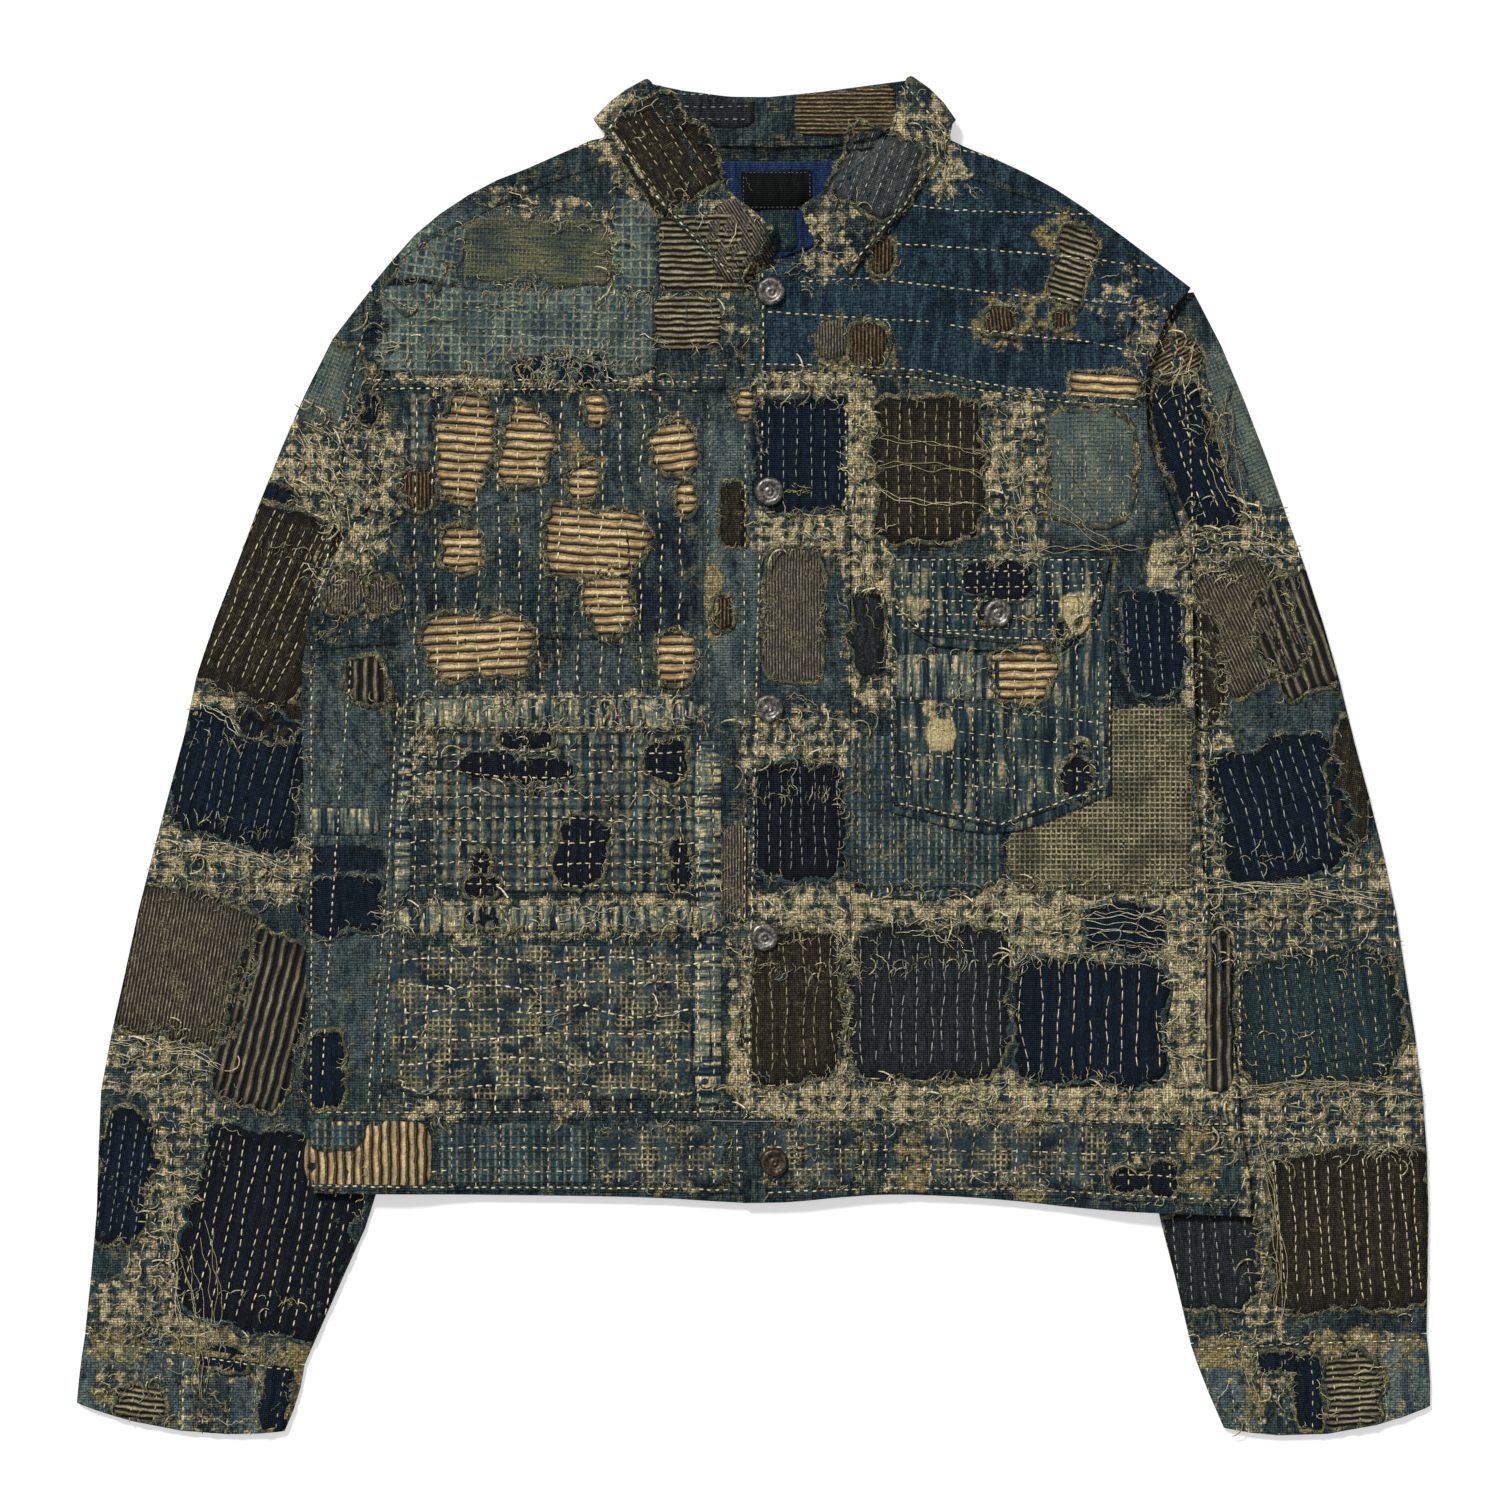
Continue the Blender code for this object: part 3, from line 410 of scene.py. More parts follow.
# %% Checked and plaid cloths
def check(
    name, deep, light, down, across, pitch=3.0, share=0.42, worn=0.5, blotch=16, down_share=None, khaki=0.4,
    lie=(0.6, 1.5), spared=0.40,
):
    c = Loom(name, own_threads=True)
    colour = c.blend(c.step(c.grain(blotch, lie, 5, 0.65, 2), 0.40, 0.60), deep, light)
    gone = c.step(c.grain(11, detail=6, rough=0.7, seed=4), spared, spared + 0.18)
    keep = c.less(1.0, c.times(gone, worn))
    dashes = c.times(keep, c.step(c.grain(1.8, (0.7, 1.5), 3, seed=5), 0.28, 0.52))
    lines_down = c.times(c.stripe(0, pitch, down_share or share, 0.2, wander=0.25), dashes)
    lines_across = c.times(c.stripe(1, pitch, share, 0.2, wander=0.25, seed=3), dashes)
    colour = c.blend(lines_down, colour, down)
    colour = c.blend(lines_across, colour, across)
    fuzz = c.times(c.step(c.grain(13, detail=6, rough=0.75, seed=8), 0.50, 0.64), khaki)
    fuzz = c.times(fuzz, c.step(c.grain(1.5, (1.3, 0.8), 3, seed=9), 0.42, 0.58))
    colour = c.blend(fuzz, colour, "#a89a70")
    colour = c.blend(c.times(c.step(c.grain(21, detail=4, seed=12), 0.42, 0.62), 0.55), colour, deep)
    height = c.plus(c.plus(lines_down, lines_across), c.times(c.grain(1.9, detail=4, seed=9), 1.6))
    return c.finish(colour, height, 0.7)


for name, colours, lines, rest in [
    ("khaki check", "#20251f #3e3f31 #a99e7a #b5aa84", (3.1, 0.33, 0.3, 18), dict(khaki=0.25)),
    ("faded plaid", "#3a4c4e #616c5f #8a8b70 #4c6064", (2.4, 0.35, 0.6), dict(khaki=0.4)),
    ("dashed teal", "#15262f #2f454d #8b8c70 #3b4e52", (4.6, 0.22, 0.4), dict(down_share=0.3)),
    ("green check", "#26363a #5f6246 #868360 #76765a", (2.4, 0.3, 0.7, 9), dict(lie=(3.2, 0.45), khaki=0.5)),
    ("grid plaid", "#0f1d25 #43575a #a39b74 #13232b", (7.3, 0.34, 0.55, 9), dict(khaki=0.5)),
    ("old plaid", "#11202a #36474a #bcb080 #b2a678", (3.4, 0.36, 1.0, 16), dict(khaki=0.35, spared=0.375)),
    ("yoke grid", "#283a41 #54665f #9a9f88 #8d9583", (5.2, 0.26, 0.6, 12), dict(khaki=0.2, spared=0.44)),
]:
    CLOTHS[name] = check(name, *colours.split(), *lines, **rest)


def barred(name, deep, mid, cream, width, ends):
    """Uneven bars along the threads, dyed where a row of stitches held them and pale between."""
    c = Loom(name, own_threads=True)
    bar = c.grain(width, (0.8, 9.0), 3, 0.6, 3)
    colour = c.blend(c.step(bar, 0.38, 0.58), deep, mid)
    spell = c.step(c.grain(width * 3, (1.0, 0.8), 4, 0.6, 5), 0.44, 0.60)
    colour = c.blend(c.times(c.step(bar, 0.50, 0.60), c.times(spell, ends)), colour, cream)
    weft = c.stripe(1, 3.4, 0.3, 0.25, wander=0.5, seed=7)
    colour = c.dimmed(weft, colour, 0.3, deep)
    pale = c.step(c.plus(c.worn("stain"), c.less(c.grain(7, detail=5, seed=14), 0.5)), 0.40, 0.65)
    colour = c.dimmed(pale, colour, 0.7, "#cdb985")
    return c.finish(colour, c.plus(c.times(bar, 5.0), c.grain(1.7, detail=4, seed=9)), 0.9, 0.5)


CLOTHS["seam bars"] = barred("seam bars", "#182934", "#6b7568", "#d8c693", 5.0, 0.95)
CLOTHS["pocket plaid"] = barred("pocket plaid", "#12212a", "#384a4a", "#a39b76", 5.5, 0.75)

# %% [markdown]
# Small finishes: the blue lining, the bare woven label, the fray, the threads and the metal. Threads carry a
# number of their own, tint, so that a row of stitches isn't all one colour. The frayed rims mix cream and khaki
# fibres with dark gaps, painted shade between the fibres. The buttons are plated metal gone grey and rough, darker in
# their rings.

# %% Lining, label, fray, thread and metal
def thread(name, dull, bright, roughness=0.85):
    c = Loom(name, roughness)
    spun = c.plus(c.times(c.worn("tint"), 0.75), c.times(c.grain(1.0, seed=3), 0.25))
    return c.finish(c.blend(spun, dull, bright))


def frayed(name, dull, bright, gap):
    c = Loom(name)
    fibre = c.step(c.most(c.grain(1.0, (2.4, 0.7), 3, 0.6, 3), c.grain(1.0, (0.7, 2.4), 3, 0.6, 4)), 0.50, 0.62)
    tone = c.blend(c.step(c.grain(7, detail=5, seed=5), 0.42, 0.60), dull, bright)
    # painted shade: the gaps between the fibres take the near-black gap colour
    colour = c.blend(fibre, c.blend(c.step(c.grain(6, detail=4, seed=6), 0.4, 0.6), gap, dull), tone)
    return c.finish(colour, c.grain(1.0, detail=4, rough=0.75, seed=8), 1.5)


CLOTHS["blue lining"] = plain("blue lining", "#1a2a4a", "#28406e", "#435c82", hairs=0.5)
CLOTHS["label"] = plain("label", "#0b0c0d", "#17191a", "#2a2c2c", hairs=0.3)
CLOTHS["khaki fray"] = frayed("khaki fray", "#4f5546", "#aa9d72", "#151f25")
CLOTHS["teal fray"] = frayed("teal fray", "#33474a", "#7f8470", "#121c24")
CLOTHS["cream thread"] = thread("cream thread", "#a39a7a", "#e6dbb6")
CLOTHS["grey thread"] = thread("grey thread", "#6d7a7c", "#b3b6a6")
CLOTHS["khaki thread"] = thread("khaki thread", "#6d6a50", "#cabd92")
CLOTHS["teal thread"] = thread("teal thread", "#3a4f56", "#8b9788")
CLOTHS["ink thread"] = thread("ink thread", "#0d1218", "#262d34")


def metal(name, dark, bright):
    c = Loom(name, 0.42)
    c.shader.inputs["Metallic"].default_value = 0.75
    c.shader.inputs["Specular IOR Level"].default_value = 0.5
    tarnish = c.step(c.grain(2.4, detail=5, rough=0.7, seed=3), 0.40, 0.62)
    return c.finish(c.blend(tarnish, dark, bright), c.grain(0.9, detail=4, seed=5), 0.15)


CLOTHS["aged metal"] = metal("aged metal", "#45433f", "#96928a")
CLOTHS["brown metal"] = metal("brown metal", "#2a231d", "#5f5346")
print(len(CLOTHS), "finishes written")

# %% [markdown]
# Each cloth piece starts as a copy of its solid: the copy is merged, its outer edges are rounded as a folded edge
# is, and its top is divided finely enough to take folds. A jacket laid down isn't flat between its seams, so a
# table of creases presses long soft troughs into it and raises ridges: from, to, half width and height in mm.

# %% Creases, placed on the grid
CREASES = [
    # wearer's right front and its side
    (473, 513, 600, 457, 5, 1.3), (480, 524, 590, 474, 4, -0.9), (307, 643, 440, 573, 5, -1.3),
    (318, 655, 452, 590, 6, 0.9), (307, 710, 573, 927, 6, -1.0), (330, 700, 560, 890, 7, 0.8),
    (402, 655, 377, 1110, 3, -1.2), (352, 660, 320, 1100, 4, 0.8), (420, 610, 540, 690, 7, 0.9),
    (520, 560, 640, 600, 6, -0.8), (560, 700, 690, 640, 6, 0.8), (400, 720, 700, 715, 3, 0.8),
    (400, 906, 715, 905, 3, -0.9), (398, 930, 715, 927, 4, 0.9), (560, 760, 600, 880, 7, 0.7),
    (420, 980, 560, 1100, 7, 0.8), (600, 950, 690, 1080, 6, -0.8), (470, 1000, 640, 960, 6, 0.8),
    (690, 740, 684, 1110, 3, -1.0), (716, 560, 710, 1110, 3, 0.7),
    # yokes
    (380, 300, 640, 330, 8, 0.9), (400, 250, 520, 230, 6, -0.7), (430, 385, 640, 392, 3, 1.0),
    (610, 220, 618, 290, 3, 0.9), (960, 230, 1030, 400, 5, -0.8), (930, 300, 900, 395, 4, 0.7),
    (1030, 330, 1075, 400, 5, 0.9), (1100, 290, 1150, 380, 6, 0.8), (800, 210, 990, 212, 5, 0.5),
    (880, 250, 1010, 300, 7, 0.6), (1120, 215, 1180, 330, 8, -0.7), (765, 385, 1140, 402, 3, 0.8),
    # wearer's left front
    (858, 395, 860, 520, 4, 1.0), (870, 590, 880, 700, 5, 0.9), (990, 400, 1000, 545, 5, 0.8),
    (1055, 450, 1100, 520, 4, -1.1), (1040, 460, 1085, 535, 4, 0.9), (1130, 560, 1190, 600, 6, 0.8),
    (1195, 600, 1192, 900, 4, 0.9), (845, 740, 848, 890, 4, 0.7), (760, 905, 1190, 925, 6, 1.0),
    (1010, 925, 1012, 1080, 4, -1.0), (850, 930, 845, 1080, 4, -0.9), (1180, 930, 1175, 1100, 4, 1.0),
    (760, 1090, 1190, 1100, 5, 0.9), (800, 1000, 830, 1090, 6, 0.7), (1060, 960, 1090, 1080, 7, 0.7),
    (900, 940, 930, 1060, 7, 0.6), (1205, 700, 1215, 900, 5, -0.9),
    # wearer's right sleeve
    (330, 330, 250, 560, 9, 1.3), (300, 400, 380, 480, 7, -1.2), (280, 470, 370, 560, 8, 1.2),
    (215, 600, 320, 640, 8, -1.0), (190, 700, 310, 705, 7, 1.4), (180, 735, 300, 722, 5, -1.3),
    (150, 850, 300, 880, 9, 1.3), (160, 820, 290, 850, 6, -1.1), (120, 960, 250, 930, 8, 0.9),
    (110, 1040, 240, 1070, 8, 1.2), (100, 1080, 220, 1095, 6, -1.1), (200, 1120, 330, 1160, 9, 1.1),
    (160, 1150, 180, 1320, 8, 1.2), (210, 1180, 340, 1210, 7, -0.9), (120, 1200, 130, 1320, 7, 0.9),
    (240, 1260, 320, 1320, 8, 0.9), (95, 1300, 290, 1330, 6, 0.9), (240, 560, 200, 700, 9, 0.9),
    # wearer's left sleeve
    (1180, 350, 1230, 470, 7, 1.2), (1235, 400, 1260, 520, 7, -1.1), (1190, 520, 1300, 560, 8, 1.4),
    (1200, 560, 1310, 600, 6, -1.2), (1230, 700, 1340, 690, 7, 1.2), (1220, 730, 1350, 745, 6, -1.0),
    (1240, 800, 1340, 850, 8, 0.9), (1210, 890, 1390, 900, 9, 1.4), (1220, 930, 1380, 930, 6, -1.2),
    (1240, 1010, 1370, 1000, 8, 0.9), (1240, 1090, 1420, 1100, 9, 1.3), (1250, 1130, 1410, 1125, 6, -1.1),
    (1240, 1180, 1260, 1330, 8, 1.1), (1290, 1190, 1400, 1250, 8, 0.9), (1340, 1230, 1420, 1300, 7, -0.8),
    (1190, 1210, 1260, 1310, 7, 0.8), (1180, 1310, 1430, 1320, 6, 0.8),
    # waistband, collar and cuffs
    (310, 1128, 750, 1126, 4, 0.6), (760, 1128, 1230, 1132, 4, 0.6), (440, 1120, 450, 1190, 4, -0.7),
    (600, 1120, 610, 1190, 4, 0.6), (900, 1120, 905, 1190, 4, 0.6), (1090, 1120, 1100, 1195, 4, -0.7),
    (620, 110, 700, 200, 5, 0.5), (660, 200, 740, 270, 4, 0.6), (940, 110, 900, 200, 5, 0.5),
    (120, 1360, 130, 1430, 5, 0.7), (230, 1370, 236, 1430, 5, -0.7), (1250, 1350, 1260, 1420, 5, 0.7),
    (1350, 1345, 1352, 1420, 5, -0.7), (1400, 1340, 1408, 1410, 5, 0.6),
]


def crease_height(places):
    """Height in mm that the creases give to places, an array of x and y in metres."""
    height = np.zeros(len(places))
    for across0, down0, across1, down1, half, tall in CREASES:
        a, b = np.array(spot(across0, down0)[:2]), np.array(spot(across1, down1)[:2])
        run = b - a
        share = np.clip((places - a) @ run / (run @ run), 0, 1)
        off = np.linalg.norm(places - a - share[:, None] * run, axis=1) / (half * MM)
        height += tall * np.exp(-(off**2)) * np.sqrt(np.sin(np.pi * np.clip(share, 0.04, 0.96)))
    return height


print(len(CREASES), "creases placed")

# %% [markdown]
# Rows of running stitch draw the cloth in, so it swells between them. The fields of stitches are therefore listed
# before the cloth is dressed: left, top, right, bottom, turn, spacing, which way its rows go, the length of a
# stitch and of the gap after it in mm, its thread, how far the rows wander, and the thread's half width.

# %% Fields of stitches, placed on the grid
CREAM, KHAKI, GREY, INK = "cream thread", "khaki thread", "grey thread", "ink thread"
HEM_CORNER = [(spot(372, 1150), 62 * STEP, 42 * STEP, 0, 8)]
FIELDS = [
    # wearer's right side
    (385, 300, 650, 345, -4, 24, "across", 2.6, 3.4, KHAKI, 5),
    (400, 292, 640, 350, 0, 26, "down", 2.4, 3.6, KHAKI, 4),
    (692, 358, 756, 385, 0, 12, "across", 3.0, 2.0, CREAM, 2),
    (406, 395, 692, 694, 0, 20.5, "down", 4.2, 2.2, CREAM, 7, 0.5),
    (322, 405, 400, 640, 10, 22, "down", 3.6, 3.0, KHAKI, 6),
    (404, 733, 712, 898, 0, 21.8, "down", 3.4, 2.6, CREAM, 4),
    (404, 742, 712, 896, 0, 22, "across", 3.6, 2.2, CREAM, 6, 0.48),
    (395, 936, 712, 1116, 0, 22.5, "down", 3.8, 2.2, CREAM, 6, 0.62),
    (395, 948, 712, 1100, 0, 24, "across", 4.0, 1.6, CREAM, 12, 0.62),
    (690, 738, 722, 1118, 0, 17, "down", 3.0, 2.6, CREAM, 2),
    (430, 1136, 752, 1182, 0, 22, "across", 3.4, 2.6, CREAM, 3),
    (440, 1124, 750, 1188, 0, 24, "down", 2.8, 2.6, CREAM, 3),
    (700, 400, 718, 740, 0, 16, "down", 3.0, 2.8, KHAKI, 3),
    (736, 420, 754, 1110, 0, 16, "down", 3.2, 2.6, CREAM, 2),
    (413, 699, 697, 728, 0, 12, "down", 11, 3, KHAKI, 1, 1.1),
    (398, 906, 720, 932, 0, 12, "down", 10, 3, KHAKI, 1, 1.1),
    # wearer's left side
    (762, 400, 846, 508, 0, 13, "down", 5.0, 1.4, GREY, 3, 0.26),
    (880, 398, 980, 538, 0, 13, "down", 5.5, 0.8, KHAKI, 4, 0.34),
    (1040, 440, 1142, 524, 0, 13, "down", 3.6, 2.8, KHAKI, 2),
    (1122, 600, 1188, 694, 4, 12, "down", 4.4, 1.2, GREY, 3, 0.3),
    (751, 766, 843, 872, 0, 12, "down", 5.5, 0.8, GREY, 5, 0.24),
    (852, 742, 995, 884, 0, 12, "down", 3.0, 2.8, KHAKI, 2, 0.34),
    (750, 936, 838, 1074, 0, 14, "down", 5.5, 0.6, KHAKI, 9, 0.30),
    (855, 932, 1008, 1072, 0, 13.5, "down", 6.5, 0.5, GREY, 7, 0.30),
    (1016, 958, 1162, 1078, 0, 17, "down", 6.5, 0.7, CREAM, 7, 0.34),
    (900, 655, 1108, 800, 0, 20, "down", 3.2, 2.4, CREAM, 2),
    (894, 700, 1108, 800, -6, 24, "across", 3.2, 2.4, CREAM, 3),
    (895, 562, 1105, 632, 0, 15, "down", 2.8, 2.2, CREAM, 2),
    (895, 566, 1105, 636, 0, 15, "across", 2.8, 2.2, CREAM, 3),
    (765, 1124, 1225, 1190, 0, 22, "down", 3.2, 2.4, CREAM, 3),
    (765, 1140, 1225, 1184, -1, 22, "across", 3.4, 2.4, CREAM, 4),
    (1206, 705, 1222, 890, 0, 16, "down", 3.2, 2.4, KHAKI, 2),
    # sleeves
    (218, 512, 318, 690, -24, 13, "down", 5.0, 0.8, CREAM, 5, 0.34),
    (180, 715, 298, 838, -14, 13, "down", 5.5, 1.0, GREY, 6, 0.30),
    (192, 1142, 348, 1322, -12, 14, "down", 4.6, 1.8, CREAM, 4, 0.42, HEM_CORNER),
    (300, 470, 380, 640, -22, 22, "down", 3.4, 3.0, KHAKI, 5),
    (1174, 376, 1216, 528, 22, 12, "down", 4.6, 2.0, CREAM, 4),
    (1226, 746, 1338, 874, 16, 13, "down", 5.5, 1.0, GREY, 6, 0.32),
    (1242, 956, 1394, 1080, 8, 14, "down", 3.8, 2.0, KHAKI, 5, 0.34),
    (1276, 1156, 1424, 1302, 4, 12.5, "down", 5.0, 0.8, CREAM, 5, 0.36),
    (1170, 1212, 1254, 1306, 4, 13, "down", 4.4, 1.4, GREY, 3, 0.3),
    (96, 1346, 292, 1434, -8, 26, "down", 3.0, 3.0, KHAKI, 4),
    (1196, 1344, 1424, 1430, 3, 26, "down", 3.0, 3.0, KHAKI, 4),
    (98, 1115, 148, 1240, -8, 13, "down", 4.0, 1.6, GREY, 3, 0.32),
    # collar
    (630, 104, 700, 204, 32, 14, "down", 4.0, 1.4, KHAKI, 3, 0.34),
    (842, 136, 914, 208, -20, 12, "down", 3.6, 1.4, GREY, 3, 0.32),
    (655, 88, 752, 126, 0, 13, "across", 3.0, 2.0, GREY, 2, 0.3),
]


def pucker_height(places):
    """Height in mm of the swell between the rows of every field that runs down the cloth."""
    height = np.zeros(len(places))
    for left, top, right, bottom, turn, spacing, way, *_ in FIELDS:
        middle, half_x, half_y = box_at(left, top, right, bottom)
        u, w = turned(*(places - np.array(middle[:2])).T, -turn)
        inside = (np.abs(u) < half_x) & (np.abs(w) < half_y)
        across, half = (u, half_x) if way == "down" else (w, half_y)
        rows = max(1, round(2 * half / (spacing * STEP)))
        wave = np.cos(2 * np.pi * (across + half) / (2 * half / rows))
        height += np.where(inside, 0.045 * min(spacing, 16) * wave * (1.0 if way == "down" else 0.5), 0)
    return height


print(len(FIELDS), "fields of stitches placed")

# %% [markdown]
# Wear is painted the same way: a table of soft-edged places with a kind and a strength. Fray is where the weft
# hangs loose in cream bars, fade is washed pale, stain is yellow khaki, and ink is where deep navy stayed or an
# older dark patch was sewn under, and also painted shade darkening the ground along seams and in valleys.

# %% Wear and painted shade, placed on the grid: left, top, right, bottom, turn, strength
WEAR_AND_SHADE = {
    "fray": [
        (645, 290, 757, 345, 0, 0.5), (372, 362, 650, 384, -2, 0.6), (378, 294, 650, 352, -1, 0.5),
        (600, 208, 655, 300, 0, 0.45), (390, 190, 640, 212, -12, 0.45), (505, 346, 615, 362, 0, 0.9),
        (606, 210, 618, 300, 0, 0.7), (430, 380, 510, 400, 0, 0.5), (413, 698, 695, 728, 0, 0.75),
        (397, 905, 720, 932, 0, 0.8), (405, 735, 470, 800, 0, 0.5), (480, 745, 600, 790, 0, 0.6),
        (600, 800, 700, 900, 0, 0.5), (407, 1037, 467, 1117, 0, 0.6), (513, 973, 587, 1023, 0, 0.6),
        (637, 977, 680, 1093, 0, 0.6), (553, 1073, 593, 1113, 0, 0.6), (453, 940, 480, 993, 0, 0.6),
        (270, 410, 392, 565, -20, 0.95), (150, 826, 305, 892, -8, 1.0), (100, 1028, 235, 1092, -6, 1.0),
        (138, 1085, 224, 1325, -6, 0.85), (84, 1290, 310, 1345, -8, 0.6), (170, 690, 245, 742, 0, 0.7),
        (757, 378, 860, 402, 0, 0.9), (757, 510, 850, 550, 0, 0.95), (846, 390, 872, 525, 0, 0.95),
        (984, 398, 1044, 562, 0, 0.85), (848, 518, 894, 700, 0, 0.85), (747, 712, 852, 792, 0, 0.95),
        (742, 884, 1205, 962, 2, 1.0), (742, 1074, 1205, 1116, 0, 1.0), (1162, 925, 1208, 1116, 0, 0.95),
        (1185, 590, 1202, 705, 0, 0.9), (1150, 540, 1205, 600, 0, 0.7), (1186, 500, 1305, 575, 0, 1.0),
        (1145, 335, 1205, 435, 30, 0.9), (1196, 856, 1405, 962, 0, 0.85), (1228, 1036, 1432, 1152, 0, 1.0),
        (1244, 1095, 1294, 1345, -6, 0.85), (1195, 700, 1230, 930, 0, 0.8), (838, 985, 870, 1080, 0, 0.9),
        (720, 830, 750, 922, 0, 0.5), (735, 940, 757, 1110, 0, 0.7), (600, 85, 660, 210, 30, 0.55),
        (905, 90, 955, 200, 20, 0.55), (700, 195, 775, 285, 30, 0.5), (795, 200, 860, 285, 0, 0.45),
        (88, 1340, 300, 1440, -8, 0.4), (1190, 1335, 1430, 1440, 3, 0.4), (92, 1372, 150, 1392, -8, 0.6),
        (755, 1120, 1235, 1200, 0, 0.28), (1104, 272, 1162, 350, 35, 0.42), (1040, 590, 1112, 640, 0, 0.6),
        (895, 655, 1110, 705, 0, 0.4),
    ],
    "fade": [
        (1228, 340, 1264, 540, 21, 1.0), (150, 826, 305, 892, -8, 0.6), (100, 1028, 235, 1092, -6, 0.6),
        (138, 1085, 224, 1325, -6, 0.6), (1228, 1036, 1432, 1152, 0, 0.6), (1244, 1095, 1294, 1345, -6, 0.6),
        (1195, 700, 1230, 930, 0, 0.7), (1196, 1345, 1256, 1440, 0, 0.8), (1384, 1340, 1430, 1430, 0, 0.8),
        (84, 1345, 190, 1440, -8, 0.9), (380, 200, 660, 350, 0, 0.55), (700, 395, 757, 740, 0, 0.6),
        (430, 395, 700, 560, 0, 0.45), (1000, 590, 1110, 700, 0, 0.3), (400, 400, 700, 520, 0, 0.3),
        (455, 215, 615, 285, -4, 0.7), (300, 640, 400, 1110, 3, 0.5), (645, 375, 700, 700, 0, 0.45),
        (755, 560, 850, 720, 0, 0.4), (1035, 405, 1150, 535, 0, 0.7), (1225, 690, 1350, 742, 0, 0.5),
        (1290, 330, 1330, 620, -20, 0.6), (230, 1330, 300, 1440, 8, 0.7), (100, 1340, 190, 1430, 8, 0.5),
        (400, 620, 470, 700, 0, 0.5), (560, 640, 640, 700, 0, 0.5), (1350, 880, 1420, 1110, 0, 0.4),
        (1196, 856, 1405, 962, 0, 0.9), (1186, 500, 1305, 575, 0, 0.8), (1145, 335, 1205, 435, 30, 0.9),
        (270, 410, 392, 565, -20, 0.35), (747, 712, 852, 792, 0, 0.4), (645, 290, 757, 345, 0, 0.5),
        (984, 398, 1044, 562, 0, 0.6), (1390, 1335, 1430, 1420, 0, 0.5), (930, 700, 1000, 800, 0, 0.5),
        (1120, 590, 1190, 605, 0, 0.4),
    ],
    "stain": [
        (452, 338, 474, 356, 0, 0.9), (603, 338, 622, 356, 0, 0.9), (628, 335, 646, 350, 0, 0.8),
        (709, 560, 715, 640, 0, 0.75), (1064, 596, 1084, 632, 0, 0.7), (931, 724, 950, 746, 0, 0.85),
        (1018, 1128, 1042, 1198, 0, 0.8), (735, 1000, 756, 1075, 0, 0.9), (846, 470, 872, 515, 0, 0.8),
        (1010, 930, 1060, 960, 0, 0.7), (760, 1110, 860, 1190, 0, 0.45), (900, 1124, 930, 1195, 0, 0.5),
        (1180, 1124, 1215, 1198, 0, 0.5), (640, 1130, 720, 1188, 0, 0.45), (97, 1375, 120, 1400, 0, 0.8),
        (275, 1340, 300, 1440, -8, 0.9), (1200, 1345, 1250, 1364, 0, 0.85), (1250, 1340, 1262, 1420, 0, 0.6),
        (1300, 1335, 1385, 1350, 0, 0.6), (178, 1330, 262, 1358, -8, 0.95), (86, 1420, 180, 1440, 0, 0.5),
        (95, 1330, 150, 1360, 0, 0.6), (180, 1330, 300, 1350, 10, 0.6), (1380, 1340, 1425, 1370, 0, 0.5),
        (560, 445, 600, 465, -20, 0.6), (1040, 220, 1080, 245, 30, 0.6), (970, 300, 1030, 345, 0, 0.45),
        (1000, 290, 1090, 345, 0, 0.4), (815, 318, 890, 375, 0, 0.5), (868, 238, 892, 280, 0, 0.5),
        (910, 594, 926, 616, 0, 0.5), (927, 655, 933, 722, 0, 0.6), (610, 960, 640, 990, 0, 0.6),
        (715, 825, 750, 925, 0, 0.5),
    ],
    # ink rows are partly deep navy and partly painted shade along seams and in valleys
    "ink": [
        (757, 395, 850, 515, 0, 1.0), (1118, 590, 1190, 700, 0, 0.9), (840, 66, 905, 90, 0, 0.5),
        (365, 300, 440, 385, -20, 0.5), (620, 560, 700, 640, 0, 0.5), (880, 735, 1000, 890, 0, 0.35),
        (300, 850, 380, 870, 0, 0.8), (690, 940, 735, 1080, 0, 0.4), (880, 210, 1160, 300, 10, 0.4),
        (1225, 690, 1350, 745, 0, 0.4), (1330, 705, 1378, 842, -8, 0.7), (640, 500, 700, 560, 0, 0.5),
        (860, 560, 905, 700, 0, 0.3), (430, 820, 560, 900, 0, 0.4), (1165, 1035, 1240, 1120, 0, 0.4),
    ],
}


def paint_wear_and_shade(piece):
    """Stores each kind of wear and painted shade on the piece's own points."""
    mesh = piece.data
    places = np.empty(len(mesh.vertices) * 3)
    mesh.vertices.foreach_get("co", places)
    across = places[0::3] / STEP + CENTRE_ACROSS
    down = CENTRE_DOWN - places[1::3] / STEP
    for kind, table in WEAR_AND_SHADE.items():
        amount = np.zeros(len(across))
        for left, top, right, bottom, turn, strength in table:
            mid_across, mid_down = (left + right) / 2, (top + bottom) / 2
            u, v = turned(across - mid_across, down - mid_down, turn)
            u, v = u / ((right - left) / 2 + 6), v / ((bottom - top) / 2 + 6)
            reach = (np.abs(u) ** 4 + np.abs(v) ** 4) ** 0.25
            amount = np.maximum(amount, strength * np.clip((1.25 - reach) / 0.5, 0, 1))
        layer = mesh.attributes.new(kind, "FLOAT", "POINT")
        layer.data.foreach_set("value", amount.astype(np.float32))


print({kind: len(table) for kind, table in WEAR_AND_SHADE.items()}, "worn places")

# %% [markdown]
# One helper dresses any soft solid. Its underside is left flat, because it lies on a table or on the piece below.

# %% Dress a soft solid
def new_piece(name, bm, cloth):
    mesh = bpy.data.meshes.new(name)
    bm.to_mesh(mesh)
    bm.free()
    piece = bpy.data.objects.new(name, mesh)
    bpy.context.collection.objects.link(piece)
    mesh.materials.append(CLOTHS[cloth])
    mesh.polygons.foreach_set("use_smooth", [True] * len(mesh.polygons))
    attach(piece, "root")
    return piece


